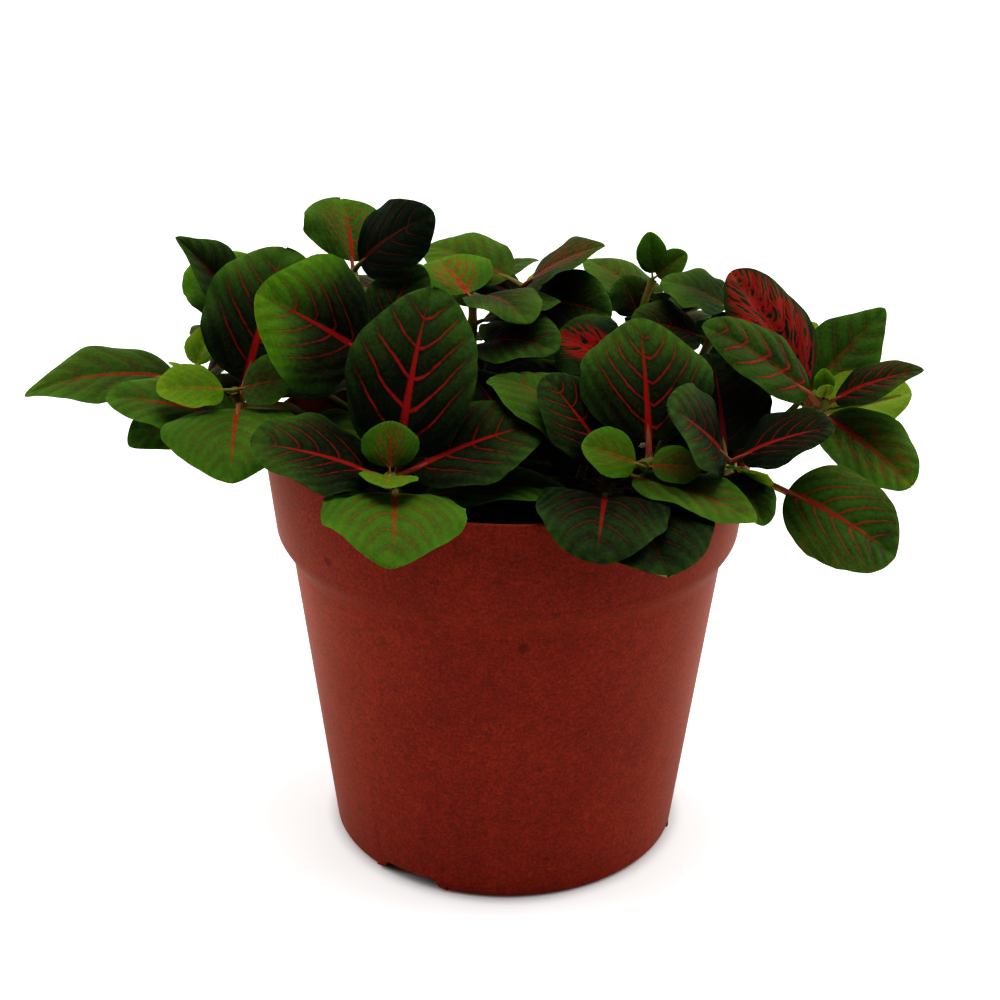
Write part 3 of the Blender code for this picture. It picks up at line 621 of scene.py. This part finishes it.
def add_tube(surface, path, radii, sides, slot, tint=(0, 0, 0)):
    """A round tube along a path, closed at both ends."""
    path = np.asarray(path, float)
    along = unit(np.gradient(path, axis=0))
    side = np.cross(along[0], ODD_WAY)
    angles = np.arange(sides) * 2 * math.pi / sides
    rings = []
    for place, direction, radius in zip(path, along, radii):
        side = unit(side - direction * (side @ direction))
        other = np.cross(direction, side)
        rings.append(place + radius * (np.outer(np.cos(angles), side) + np.outer(np.sin(angles), other)))
    surface.add(rings, tube_faces(len(path), sides), slot, look=tint)


def add_stalk(surface, blade):
    """The leaf's stalk, which runs on under the blade as its midrib."""
    size = float(np.clip(blade["length"] / (32 * MM), 0.4, 1.1))
    stalk = blade["stalk"]
    t = np.linspace(0, stalk + 0.9 * (1 - stalk), 18)
    middle = blade_points(blade, t, np.zeros_like(t))
    normal = unit(np.cross(blade["axes"][1], np.gradient(middle, axis=0)))
    radius = size * MM * (0.95 - 0.25 * ramp(t, 0, stalk) - 0.5 * ramp(t, stalk, 0.95))
    depth = ramp(t, 0.6 * stalk, stalk + 0.15) * (0.22 * MM + 0.55 * radius + 0.3 * size * MM * (1 - t))
    add_tube(surface, middle - normal * depth[:, None], radius, 8, STEM, blade["look"][:3])


def add_hairs(surface, path, radius, random, count):
    """Short soft hairs on a stem."""
    for _ in range(count):
        spot = random.uniform(0.15, 0.98) * (len(path) - 1)
        low = int(spot)
        step = path[low + 1] - path[low]
        place = path[low] + step * (spot - low)
        along = unit(step)
        out = unit(np.cross(along, random.normal(size=3)))
        tip = unit(out + 0.35 * along + 0.25 * random.normal(size=3))
        tip *= random.uniform(0.6, 1.3) * MM
        root = place + out * radius * 0.85
        add_tube(surface, (root, root + 0.55 * tip, root + tip), np.array(HAIR_RADII) * MM, 3, HAIR)


def dress_blades(shoots):
    """Gives every leaf the values that only its looks need."""
    for index, (name, shoot) in enumerate(shoots.items()):
        random = np.random.default_rng((SEED, LOOK_SEED + index))
        for number, blade in enumerate(shoot["blades"]):
            tender = blade["kind"] == "young"
            blade["pairs"] = random.uniform(4, 5) if tender else random.uniform(5.2, 6.3)
            blade["skew"] = random.uniform(0.15, 0.5)
            blade["quilt"] = random.uniform(0.4, 0.55) * (0.7 if tender else 1)
            blade["tip"] = POINTED.get((name, number), random.uniform(0, 0.18))
            blade["seed"] = random.uniform(0, 90)
            if name in LOOKS:
                blade["look"] = LOOKS[name][number]
            else:
                tone = random.uniform(0.6, 0.9) if tender else random.uniform(0.08, 0.4)
                blade["look"] = look(tone, random.uniform(0.6, 1), random.uniform(0.08, 0.25),
                                     side=random.uniform(0.4, 0.7), climb=random.uniform(0.1, 0.4))


def make_shoot(name, shoot, index, materials):
    """One leafy stem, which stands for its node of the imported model."""
    random = np.random.default_rng((SEED, HAIR_SEED + index))
    surface = Surface("look", "trait", "size", "veins", "place", "spot")
    for blade in shoot["blades"]:
        add_leaf(surface, blade)
        add_stalk(surface, blade)
    foot = shoot["foot"]
    path = smooth_path([foot - (0, 0, 9 * MM), foot - (0, 0, 3 * MM), *shoot["stem"][1:]], 8)
    radii = np.linspace(1.25, 1.0, len(path)) * MM
    for point in shoot["stem"][2:]:
        near = np.linalg.norm(path - point, axis=1)
        radii = radii + 0.25 * MM * np.exp(-(near / (1.6 * MM)) ** 2)
    add_tube(surface, path, radii, 12, STEM, STEM_LOOK)
    add_hairs(surface, path, 1.1 * MM, random, HAIRS)
    thing = surface.to_object(f"{name}_foliage", materials)
    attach(thing, "root")
    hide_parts(name)


# Materials.

# Ramps of colour, each from the darkest places of a surface to its lightest.
LEAF_GREENS = ((0.0, (0.008, 0.013, 0.007)), (0.25, (0.023, 0.040, 0.012)), (0.5, (0.043, 0.082, 0.014)),
               (0.75, (0.060, 0.136, 0.013)), (1.0, (0.125, 0.200, 0.014)))
VEIN_REDS = ((0.0, (0.225, 0.014, 0.014)), (0.5, (0.225, 0.030, 0.016)), (1.0, (0.30, 0.085, 0.016)))
UNDER_GREENS = ((0.0, (0.055, 0.10, 0.022)), (0.5, (0.10, 0.165, 0.026)), (1.0, (0.20, 0.31, 0.035)))
STEM_GREENS = ((0.0, (0.070, 0.105, 0.030)), (1.0, (0.16, 0.22, 0.045)))
POT_REDS = ((0.1, (0.100, 0.017, 0.012)), (0.5, (0.158, 0.023, 0.0135)), (0.9, (0.232, 0.035, 0.018)))

UNDER_VEIN = (0.27, 0.16, 0.09)
STEM_FLUSH = (0.23, 0.045, 0.035)
HAIR_SHADES = (0.30, 0.26, 0.20), (0.45, 0.42, 0.36)
POT_GREEN = (0.072, 0.032, 0.011)
POT_MARK = (0.066, 0.022, 0.012)
POT_SPECK = (0.035, 0.010, 0.006)
# A dark colour for painted shade on the pot: the rim band under the leaves, the curve below it and the
# channels.
POT_PAINTED_SHADE = (0.008, 0.009, 0.006)
POT_SHEEN = (1.0, 0.30, 0.13)
SOIL_SHADES = (0.004, 0.003, 0.0025), (0.022, 0.014, 0.009)
FLOOR_SHADES = (0.84, 0.84, 0.84), (0.86, 0.86, 0.86)


class Value:
    """What a node gives. Arithmetic with it adds the nodes for it."""

    def __init__(self, graph, socket):
        self.graph = graph
        self.socket = socket

    def __add__(self, other):
        return self.graph.math("ADD", self, other)

    def __sub__(self, other):
        return self.graph.math("SUBTRACT", self, other)

    def __rsub__(self, other):
        return self.graph.math("SUBTRACT", other, self)

    def __mul__(self, other):
        return self.graph.math("MULTIPLY", self, other)

    def __abs__(self):
        return self.graph.math("ABSOLUTE", self)

    def larger(self, other):
        return self.graph.math("MAXIMUM", self, other)

    def noise(self, scale, detail=3.0, roughness=0.5):
        return self.graph.node("TexNoise", Vector=self, Scale=scale, Detail=detail, Roughness=roughness)

    def clamp(self):
        """Keeps the last operation's result between 0 and 1."""
        self.socket.node.use_clamp = True
        return self

    def step(self, low, high, start=0.0, end=1.0):
        """A smooth step from start at low to end at high."""
        return self.graph.node("MapRange", self, low, high, start, end, interpolation_type="SMOOTHSTEP")

    def split(self):
        """The three numbers of a vector."""
        parts = self.graph.node("SeparateXYZ", self).socket.node.outputs
        return [Value(self.graph, part) for part in parts]


class Graph:
    """Adds the nodes of a material or a world before its shader."""

    def __init__(self, owner, shader="Principled BSDF"):
        owner.use_nodes = True
        self.owner = owner
        self.tree = owner.node_tree
        self.shader = self.tree.nodes[shader]

    def put(self, value, socket):
        if isinstance(value, Value):
            self.tree.links.new(value.socket, socket)
        elif socket.type == "RGBA":
            socket.default_value = (*value, 1)
        else:
            socket.default_value = value

    def node(self, kind, *values, output=0, **named):
        """Adds a node with values for its first inputs, then settings in lower case and named inputs."""
        made = self.tree.nodes.new(f"ShaderNode{kind}")
        for key, value in named.items():
            if key.islower():
                setattr(made, key, value)
            else:
                self.put(value, made.inputs[key.replace("_", " ")])
        for value, socket in zip(values, made.inputs):
            self.put(value, socket)
        return Value(self, made.outputs[output])

    def math(self, operation, *values):
        return self.node("Math", *values, operation=operation)

    def attribute(self, name):
        """A vertex attribute of three numbers."""
        return self.node("Attribute", output="Vector", attribute_name=name)

    def parts(self, name):
        return self.attribute(name).split()

    def place(self):
        """Where a point lies on the piece, in metres."""
        return self.node("TexCoord", output="Object")

    def mix(self, factor, *colours):
        made = self.node("Mix", factor, output=2, data_type="RGBA")
        for colour, number in zip(colours, (6, 7)):
            self.put(colour, made.socket.node.inputs[number])
        return made

    def colours(self, value, stops):
        """A colour ramp through (place, colour) stops."""
        made = self.node("ValToRGB", value)
        elements = made.socket.node.color_ramp.elements
        while len(elements) < len(stops):
            elements.new(0.5)
        for element, (place, colour) in zip(elements, stops):
            element.position = place
            element.color = (*colour, 1)
        return made

    def surface(self, colour, roughness, shine, height, strength, depth, **others):
        """Finishes a material that has a bump of a strength and a depth in metres."""
        bump = self.node("Bump", Height=height, Strength=strength, Distance=depth)
        return self.finish(Base_Color=colour, Roughness=roughness, Specular_IOR_Level=shine, Normal=bump,
                           **others)

    def finish(self, **inputs):
        """Feeds the shader, and returns the material or world."""
        for key, value in inputs.items():
            self.put(value, self.shader.inputs[key.replace("_", " ")])
        return self.owner


def new_material(name):
    return Graph(bpy.data.materials.new(name))


def vein_masks(graph, spot):
    """Masks for the midrib, the side veins, the fine net and the shade beside the veins, each 0 to 1."""
    phase, spacing, lateral = graph.parts("veins")
    along, edge, _ = graph.parts("place")
    side_share, rib_share, broad = graph.parts("trait")
    size, spread, _ = graph.parts("size")
    mesh = graph.parts("look")[2]
    wobble = spot.noise(0.12, 2.0) - 0.5
    scale = size * broad

    phase = phase + wobble * 0.4
    distance = (0.5 - abs(graph.math("FRACT", phase) - 0.5)) * spacing
    width = scale * edge.step(0.0, 0.9, 0.29, 0.17) * along.step(0.5, 1.0, 1.0, 0.7)
    broken = spot.noise(0.35, 2.0).step(0.32, 0.52, 0.35, 1.0)
    side = distance.step(width * 0.35, width * 1.4, 1, 0) * phase.step(0.55, 0.75)
    side = side * along.step(0.78, 0.93, 1, 0) * edge.step(0.48, 0.97, 1, 0) * (broken * side_share)

    width = scale * along.step(0.0, 1.0, 1.0, 0.2)
    middle = (abs(lateral) + wobble * 0.3).step(width * 0.42, width * 1.12, 1, 0)
    middle = middle * along.step(0.6, 0.95, 1, 0) * rib_share

    # The net's cells run along the side veins.
    cell_place = graph.node("CombineXYZ", lateral * 0.42, phase * spacing * 0.85, spot.split()[2])
    warp = graph.node("TexNoise", output="Color", Vector=spot, Scale=0.5, Detail=2.0)
    bent = graph.node("VectorMath", warp, (0.7, 1.3, 0), cell_place, operation="MULTIPLY_ADD")
    cells = graph.node("TexVoronoi", feature="DISTANCE_TO_EDGE", Vector=bent, Scale=0.8, Randomness=0.95)
    width = mesh.step(0.1, 1.0, 0.08, 0.26)
    net = cells.step(width * 0.35, width, 1, 0) * edge.step(spread * 0.6, spread, 1, 0)
    # A spread below 0 leaves the net to the leaf's margin.
    net = net * edge.step(0.45, 0.85, graph.math("GREATER_THAN", spread, 0.0), 1)
    return middle, side, net, distance.step(0.0, 1.5, 1, 0)


def upper_material():
    """The upper face: deep green that lightens to the edge, crimson midrib and side veins, a fine net."""
    graph = new_material("leaf_upper")
    spot = graph.attribute("spot")
    middle, side, net, shade = vein_masks(graph, spot)
    along, edge, rim = graph.parts("place")
    tone, red, mesh = graph.parts("look")
    climb = graph.parts("size")[2]
    patches = spot.noise(0.09) - 0.5
    grain = spot.noise(1.1, 4.0, 0.65) - 0.5
    far = (along + edge * 0.25).step(0.35, 1.0)
    light = tone + rim * 0.13 + far * (climb * 0.85) + patches * 0.36 - shade * 0.10
    light = (light + grain * 0.42).clamp()
    sunk = middle.larger(side)
    fine = net * mesh.step(0.0, 0.9, 0.0, 0.85)
    strength = (sunk.larger(fine) * red).clamp()
    colour = graph.mix(strength, graph.colours(light, LEAF_GREENS), graph.colours(light, VEIN_REDS))
    height = grain * 0.5 - sunk * 0.6 - net * 0.25
    return graph.surface(colour, (grain * 0.3 + 0.55).clamp(), 0.03, height, 0.6, 0.25 * MM)


def under_material():
    """The underside: pale green with raised, faintly pink veins."""
    graph = new_material("leaf_under")
    spot = graph.attribute("spot")
    middle, side, net, _ = vein_masks(graph, spot)
    tone = graph.parts("look")[0]
    grain = spot.noise(1.3, 4.0, 0.65) - 0.5
    green = graph.colours((tone * 0.6 + (grain + 0.35)).clamp(), UNDER_GREENS)
    strength = middle.larger(side * 0.6).larger(net * 0.15)
    height = middle.larger(side) + grain * 0.4
    colour = graph.mix(strength * 0.8, green, UNDER_VEIN)
    return graph.surface(colour, 0.6, 0.08, height, 0.6, 0.3 * MM)


def stem_material():
    """Stems and stalks: green flushed with dull red."""
    graph = new_material("stem_skin")
    tone, red, _ = graph.parts("look")
    streak = graph.place().noise(420.0)
    flush = (red.step(0.6, 1.0, 0.2, 0.75) + (streak - 0.45)).clamp()
    colour = graph.mix(flush, graph.colours(tone, STEM_GREENS), STEM_FLUSH)
    return graph.surface(colour, 0.55, 0.08, streak, 0.4, 0.3 * MM)


def hair_material():
    graph = new_material("stem_hair")
    colour = graph.mix(graph.place().noise(300.0, 1.0), *HAIR_SHADES)
    return graph.finish(Base_Color=colour, Roughness=0.7, Specular_IOR_Level=0.2)


def from_axis(graph, x, y):
    """A point's distance from the pot's axis."""
    return graph.math("SQRT", x * x + y * y)


def plastic_material():
    """Thin moulded plastic: matte red-brown, finely mottled, with faint specks and flow lines."""
    graph = new_material("pot_plastic")
    place = graph.place()
    x, y, z = place.split()
    mottle = place.noise(420.0, 5.0, 0.75) - 0.5
    fine = place.noise(1500.0, 2.0, 0.6) - 0.5
    clouds = place.noise(38.0) - 0.5
    flow = graph.node("CombineXYZ", x, y, z * 0.12).noise(150.0, 2.0) - 0.5
    shade = (mottle * 0.8 + 0.5 + fine * 1.3 + clouds * 0.4 + flow * 0.2).clamp()
    green = place.noise(900.0).step(0.53, 0.70, 0, 0.4)
    marks = graph.node("CombineXYZ", x, y, z * 3.0).noise(330.0, 4.0).step(0.56, 0.72, 0, 0.5)
    speck = graph.node("TexVoronoi", Vector=place, Scale=34.0).step(0.03, 0.07, 0.55, 0)
    # Painted shade in one dark colour: on the rim band, more towards the lip, where the leaves shade it; in
    # the middle of the curve below it, which also has less sheen and gloss; and inside the channels under
    # the foot.
    band = z.step(0.065, POT_HEIGHT, 0, 0.18)
    bend = BAND_FOOT - BODY_TOP
    curve = abs(z - (BODY_TOP + BAND_FOOT) / 2).step(0.15 * bend, 0.6 * bend, 0.17, 0)
    inside = from_axis(graph, x, y).step(BASE_RADIUS - 2.6 * MM, BASE_RADIUS - 1.2 * MM, 0.92, 0)
    under = inside * z.step(CHANNEL_HEIGHT, CHANNEL_HEIGHT + 1 * MM, 1, 0)
    colour = graph.colours(shade, POT_REDS)
    for mask, tint in ((green, POT_GREEN), (marks, POT_MARK), (speck, POT_SPECK),
                       ((band + curve).larger(under), POT_PAINTED_SHADE)):
        colour = graph.mix(mask, colour, tint)
    sheen = (z.step(10 * MM, 75 * MM, 0.08, 0.21) - curve * 0.65).clamp()
    return graph.surface(colour, (mottle * 0.25 + 0.55).clamp(), (0.05 - curve * 0.17).clamp(),
                         mottle + flow * 0.5, 0.25, 0.25 * MM,
                         Sheen_Weight=sheen, Sheen_Roughness=0.4, Sheen_Tint=POT_SHEEN)


def soil_material(name, shades, scale):
    """Crumbly matter of two shades."""
    graph = new_material(name)
    place = graph.place()
    fine = place.noise(scale * 6, 6.0, 0.7)
    shade = (fine * 0.7 + place.noise(scale) * 0.4).clamp()
    return graph.surface(graph.mix(shade.step(0.4, 0.75), *shades), 0.92, 0.15, fine, 0.8, 0.6 * MM)


# The pot.


def outer_radius(z):
    """The pot's outer radius at a height: body, a short S-curve, and the rim band."""
    if z >= BAND_FOOT:
        share = (z - BAND_FOOT) / (POT_HEIGHT - BAND_FOOT)
        return BAND_FOOT_RADIUS + (RIM_RADIUS - BAND_FOOT_RADIUS) * share
    if z <= BODY_TOP:
        return BASE_RADIUS + (BODY_TOP_RADIUS - BASE_RADIUS) * z / BODY_TOP
    return BODY_TOP_RADIUS + (BAND_FOOT_RADIUS - BODY_TOP_RADIUS) * ramp(z, BODY_TOP, BAND_FOOT)


def pot_profile():
    """From the middle of the floor inside, up, over the lip, down outside and under the foot."""
    curve = [BAND_FOOT + (BODY_TOP - BAND_FOOT) * step / 12 for step in range(13)]
    inner = outer_radius(FLOOR) - WALL
    profile = [(0, FLOOR), (inner - 1 * MM, FLOOR), (inner - 0.3 * MM, FLOOR + 0.3 * MM),
               (inner, FLOOR + 1 * MM)]
    profile += [(outer_radius(z) - WALL, z) for z in reversed(curve)]
    profile.append((RIM_RADIUS - WALL, POT_HEIGHT - 0.4 * MM))
    for step in range(7):
        angle = math.pi * step / 6
        profile.append((RIM_RADIUS - WALL / 2 - math.cos(angle) * WALL / 2,
                        POT_HEIGHT - LIP + LIP * math.sin(angle)))
    profile += [(outer_radius(z), z) for z in curve]
    foot = outer_radius(FOOT_ROUND)
    for step in range(6):
        angle = math.pi / 2 * step / 5
        profile.append((foot - FOOT_ROUND * (1 - math.cos(angle)), FOOT_ROUND * (1 - math.sin(angle))))
    return profile + [(0, 0)]


def apply_modifiers(thing):
    depsgraph = bpy.context.evaluated_depsgraph_get()
    mesh = bpy.data.meshes.new_from_object(thing.evaluated_get(depsgraph), depsgraph=depsgraph)
    thing.modifiers.clear()
    thing.data = mesh


def turned(name, profile, steps):
    """A profile turned about Z."""
    mesh = bpy.data.meshes.new(name)
    edges = [(number, number + 1) for number in range(len(profile) - 1)]
    mesh.from_pydata([(x, 0, z) for x, z in profile], edges, [])
    thing = add_object(name, mesh)
    screw = thing.modifiers.new("Turn", "SCREW")
    screw.steps = screw.render_steps = steps
    screw.use_merge_vertices = True
    screw.merge_threshold = 0.00001
    apply_modifiers(thing)
    return thing


def shape_object(name, shape):
    mesh = bpy.data.meshes.new(name)
    shape.to_mesh(mesh)
    shape.free()
    return add_object(name, mesh)


def wedge(name, start, end, width, height, drop, turn):
    """A bar with sloping sides along a direction, from drop below the ground up to a height."""
    shape = bmesh.new()
    bmesh.ops.create_cube(shape, size=1)
    for vert in shape.verts:
        top = vert.co.z > 0
        side = width / 2 - (CHANNEL_SLOPE if top else 0)
        far = start + (CHANNEL_SLOPE if top else 0) if vert.co.x < 0 else end
        vert.co = (far, math.copysign(side, vert.co.y), height if top else -drop)
    bmesh.ops.bevel(shape, geom=[edge for edge in shape.edges if min(v.co.z for v in edge.verts) > 0],
                    offset=0.5 * MM, segments=3, affect="EDGES", profile=0.5)
    bmesh.ops.rotate(shape, verts=shape.verts, matrix=Matrix.Rotation(turn, 3, "Z"))
    return shape_object(name, shape)


def drain(name, place):
    """A cutter for a hole through the floor above a channel."""
    shape = bmesh.new()
    bmesh.ops.create_cone(shape, cap_ends=True, segments=40, radius1=DRAIN_RADIUS, radius2=DRAIN_RADIUS,
                          depth=5 * MM)
    bmesh.ops.translate(shape, verts=shape.verts, vec=(*place, 3.5 * MM))
    return shape_object(name, shape)


def cut_or_join(thing, others, operation):
    collection = bpy.data.collections.new(operation)
    for other in others:
        collection.objects.link(other)
    modifier = thing.modifiers.new(operation.title(), "BOOLEAN")
    modifier.operation = operation
    modifier.operand_type = "COLLECTION"
    modifier.collection = collection
    modifier.solver = "EXACT"
    apply_modifiers(thing)
    for other in others:
        bpy.data.objects.remove(other, do_unlink=True)
    bpy.data.collections.remove(collection)


def make_pot(material):
    """The same pot as the part's, turned more finely, with rounded edges."""
    pot = turned("pot_wall", pot_profile(), 160)
    humps = []
    cutters = []
    for number, degrees in enumerate(CHANNEL_ANGLES):
        turn = math.radians(degrees)
        humps.append(wedge(f"hump_{number}", CHANNEL_START - FLOOR, BASE_RADIUS - WALL / 2,
                           CHANNEL_WIDTH + 2 * FLOOR, CHANNEL_HEIGHT + FLOOR, -0.5 * FLOOR, turn))
        cutters.append(wedge(f"channel_{number}", CHANNEL_START, BASE_RADIUS + 3 * MM,
                             CHANNEL_WIDTH, CHANNEL_HEIGHT, 1 * MM, turn))
        place = DRAIN_PLACE * math.cos(turn), DRAIN_PLACE * math.sin(turn)
        cutters.append(drain(f"drain_{number}", place))
    cut_or_join(pot, humps, "UNION")
    cut_or_join(pot, cutters, "DIFFERENCE")
    pot.data.materials.clear()
    pot.data.materials.append(material)
    pot.data.shade_smooth()
    pot.data.set_sharp_from_angle(angle=math.radians(38))
    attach(pot, "root")
    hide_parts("pot")


# The soil.

# Waves of its surface, in millimetres: how long and how high.
SOIL_WAVES = ((34, 0.5), (15, 0.35), (7, 0.3), (3.4, 0.28))

# How far it lies below the part's, and how much lower still beside the wall.
SOIL_LOW = 1.0 * MM
SOIL_DIP = 1.2 * MM

# What lies on it: the material's name, two shades and scale, how many lumps, their sizes in
# millimetres, how thick they are for their length, and by what share of their size they are lifted.
LITTER = {
    "soil_crumbs": ("crumb", ((0.005, 0.0035, 0.003), (0.030, 0.019, 0.012)), 90.0,
                    900, (0.5, 1.7), 0.8, 0.25),
    "soil_bark": ("bark", ((0.016, 0.008, 0.005), (0.075, 0.038, 0.020)), 120.0,
                  90, (1.3, 3.0), 0.25, 0.2),
    "soil_perlite": ("perlite", ((0.30, 0.27, 0.22), (0.55, 0.51, 0.44)), 200.0,
                     34, (0.5, 1.2), 0.8, 0.3),
}


def soil_radius(z):
    return outer_radius(z) - WALL - 0.4 * MM


def soil_height(x, y):
    """The height of the soil: a few broad humps and smaller ones, lower beside the wall."""
    random = np.random.default_rng((SEED, SOIL_SEED))
    humps = np.zeros_like(x)
    for wavelength, amount in SOIL_WAVES:
        for _ in range(5):
            angle, phase = random.uniform(0, 2 * math.pi, 2)
            humps = humps + amount * MM * np.sin(
                (x * math.cos(angle) + y * math.sin(angle)) * 2 * math.pi / (wavelength * MM) + phase) / 2
    edge = soil_radius(SOIL_TOP)
    return SOIL_TOP - SOIL_LOW + humps - SOIL_DIP * ramp(np.hypot(x, y), 0.8 * edge, edge)


def make_soil(material):
    """Soil that fills the pot, rough on top."""
    steps, rings = 180, 60
    angles = np.arange(steps) * 2 * math.pi / steps
    radii = np.linspace(0.002, 1, rings) * soil_radius(SOIL_TOP)
    x, y = np.outer(radii, np.cos(angles)), np.outer(radii, np.sin(angles))
    rows = list(np.stack((x, y, soil_height(x, y)), axis=-1))
    for z in (BAND_FOOT, 80 * MM, BODY_TOP, 4.8 * MM):
        x, y = soil_radius(z) * np.cos(angles), soil_radius(z) * np.sin(angles)
        rows.append(np.stack((x, y, np.full(steps, z)), axis=-1))
    surface = Surface()
    surface.add(rows, flipped(tube_faces(len(rows), steps)))
    soil = surface.to_object("soil_bed", [material], 60)
    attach(soil, "root")
    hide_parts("soil")


def lump(random):
    """A small rough lump of unit size."""
    shape = bmesh.new()
    bmesh.ops.create_icosphere(shape, subdivisions=1, radius=1)
    points = np.array([vert.co for vert in shape.verts])
    faces = [tuple(vert.index for vert in face.verts) for face in shape.faces]
    shape.free()
    for _ in range(3):
        direction = random.normal(size=3)
        points = points * (1 + 0.16 * np.sin(points @ direction * 2.2 + random.uniform(0, 6)))[:, None]
    return points, faces


def scatter(name, material, count, sizes, flatness, lift, seed):
    """Lumps lying on the soil, the thin ones flat."""
    random = np.random.default_rng((SEED, seed))
    surface = Surface()
    kinds = [lump(random) for _ in range(7)]
    for _ in range(count):
        points, faces = kinds[random.integers(len(kinds))]
        size = random.uniform(*sizes) * MM
        radius = (soil_radius(SOIL_TOP) - 1.5 * MM - size) * math.sqrt(random.uniform(0, 1))
        angle = random.uniform(0, 2 * math.pi)
        turn = np.array(Matrix.Rotation(random.uniform(0, 6.3), 3, random.normal(size=3)))
        stretch = np.array((1, random.uniform(0.6, 0.9), flatness))
        x, y = radius * math.cos(angle), radius * math.sin(angle)
        z = float(soil_height(np.array(x), np.array(y))) + size * lift
        tilt = np.array(Matrix.Rotation(random.uniform(-0.5, 0.5), 3, "X"))
        shape = (points * stretch) @ turn.T if flatness > 0.5 else (points @ turn.T * stretch) @ tilt.T
        surface.add(shape * size + (x, y, z), faces)
    thing = surface.to_object(name, [material], 40)
    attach(thing, "root")


# The room.

CAMERA_PLACE = (0, -0.4325, 0.2695)
PITCH, ROLL, PAN = 0.3978, 0.0101, -0.0044
LENS, SENSOR = 67.68, 36

# How bright the sky is on the camera's side and at the back, and between which places it changes.
SKY_PLACES = (-0.55, 0.5)
SKY_STRENGTHS = (0.14, 1.15)

# Lamps: where each stands, the height on the pot's axis that it shines on, its size and its watts.
LAMPS = {"overhead": ((0.1, -0.1, 1.3), 0.1, 1.0, 12), "left": ((-1.0, 0.3, 0.5), 0.08, 0.9, 7),
         "right": ((1.0, 0.3, 0.5), 0.08, 0.9, 7)}

# The photograph's firm contrast: dark tones pulled down, light ones kept.
TONE_CURVE = ((0.01, 0.002), (0.02, 0.006), (0.04, 0.018), (0.07, 0.045), (0.12, 0.095), (0.2, 0.178),
              (0.35, 0.335))


def add_light(name, place, height, size, power):
    """A round lamp that shines on a point of the pot's axis."""
    data = bpy.data.lights.new(name, "AREA")
    data.shape = "DISK"
    data.size = size
    data.energy = power
    light = add_object(name, data)
    light.location = place
    light.rotation_mode = "QUATERNION"
    light.rotation_quaternion = (Vector((0, 0, height)) - Vector(place)).to_track_quat("-Z", "Y")


def make_stage():
    """A pale floor that glows, with a painted shadow at the pot's foot, and even light from the sides, the
    back and above; the camera's side is darker.
    """
    mesh = bpy.data.meshes.new("floor")
    mesh.from_pydata([(-6, -6, 0), (6, -6, 0), (6, 9, 0), (-6, 9, 0)], [], [(0, 1, 2, 3)])
    floor = add_object("floor", mesh)
    graph = new_material("floor_white")
    place = graph.place()
    x, y, _ = place.split()
    # Painted light and shadow: the floor glows, which keeps it white where the plant would shade it, and
    # the glow fades out towards the pot's foot, a painted shadow at the foot and in the channels.
    floor_glow_and_painted_shadow = from_axis(graph, x, y).step(BASE_RADIUS - 2 * MM, BASE_RADIUS + 4 * MM, 0.0, 0.42)
    colour = graph.mix(place.noise(8.0), *FLOOR_SHADES)
    mesh.materials.append(graph.finish(Base_Color=colour, Roughness=0.9, Specular_IOR_Level=0.0,
                                       Emission_Color=(1.0, 1.0, 1.0), Emission_Strength=floor_glow_and_painted_shadow))
    sky = Graph(bpy.data.worlds.new("studio"), "Background")
    back = sky.node("TexCoord", output="Generated").split()[1]
    strength = sky.node("MapRange", back, *SKY_PLACES, *SKY_STRENGTHS)
    bpy.context.scene.world = sky.finish(Color=(1, 1, 1), Strength=strength)
    for name, lamp in LAMPS.items():
        add_light(name, *lamp)


def set_tone():
    view = bpy.context.scene.view_settings
    view.view_transform = "Standard"
    view.use_curve_mapping = True
    curve = view.curve_mapping.curves[3]
    for place in TONE_CURVE:
        curve.points.new(*place)
    for point in curve.points:
        point.handle_type = "AUTO_CLAMPED"
    view.curve_mapping.update()


def make_camera():
    """Where the photograph was taken from: a little above the plant, looking down."""
    data = bpy.data.cameras.new("camera")
    data.lens = LENS
    data.sensor_width = SENSOR
    data.clip_start = 0.02
    data.clip_end = 50
    camera = add_object("camera", data)
    camera.matrix_world = (Matrix.Translation(CAMERA_PLACE) @ Matrix.Rotation(-PAN, 4, "Z")
                           @ Matrix.Rotation(math.pi / 2 - PITCH, 4, "X") @ Matrix.Rotation(ROLL, 4, "Z"))
    bpy.context.scene.camera = camera


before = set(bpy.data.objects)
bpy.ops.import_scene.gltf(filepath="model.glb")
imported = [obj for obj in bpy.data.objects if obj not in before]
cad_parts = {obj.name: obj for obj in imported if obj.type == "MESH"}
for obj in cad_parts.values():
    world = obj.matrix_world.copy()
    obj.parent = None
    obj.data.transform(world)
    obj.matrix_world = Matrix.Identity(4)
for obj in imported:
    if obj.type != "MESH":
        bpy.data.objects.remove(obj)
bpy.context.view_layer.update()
set_tone()
make_camera()
make_stage()
make_pot(plastic_material())
make_soil(soil_material("soil", SOIL_SHADES, 60.0))
for number, (name, (skin, shades, scale, *lumps)) in enumerate(LITTER.items(), 1):
    scatter(name, soil_material(skin, shades, scale), *lumps, SOIL_SEED + 10 * number)
plant = settle(plan_plant())
dress_blades(plant)
skins = [upper_material(), under_material(), stem_material(), hair_material()]
for index, (name, shoot) in enumerate(plant.items()):
    make_shoot(name, shoot, index, skins)
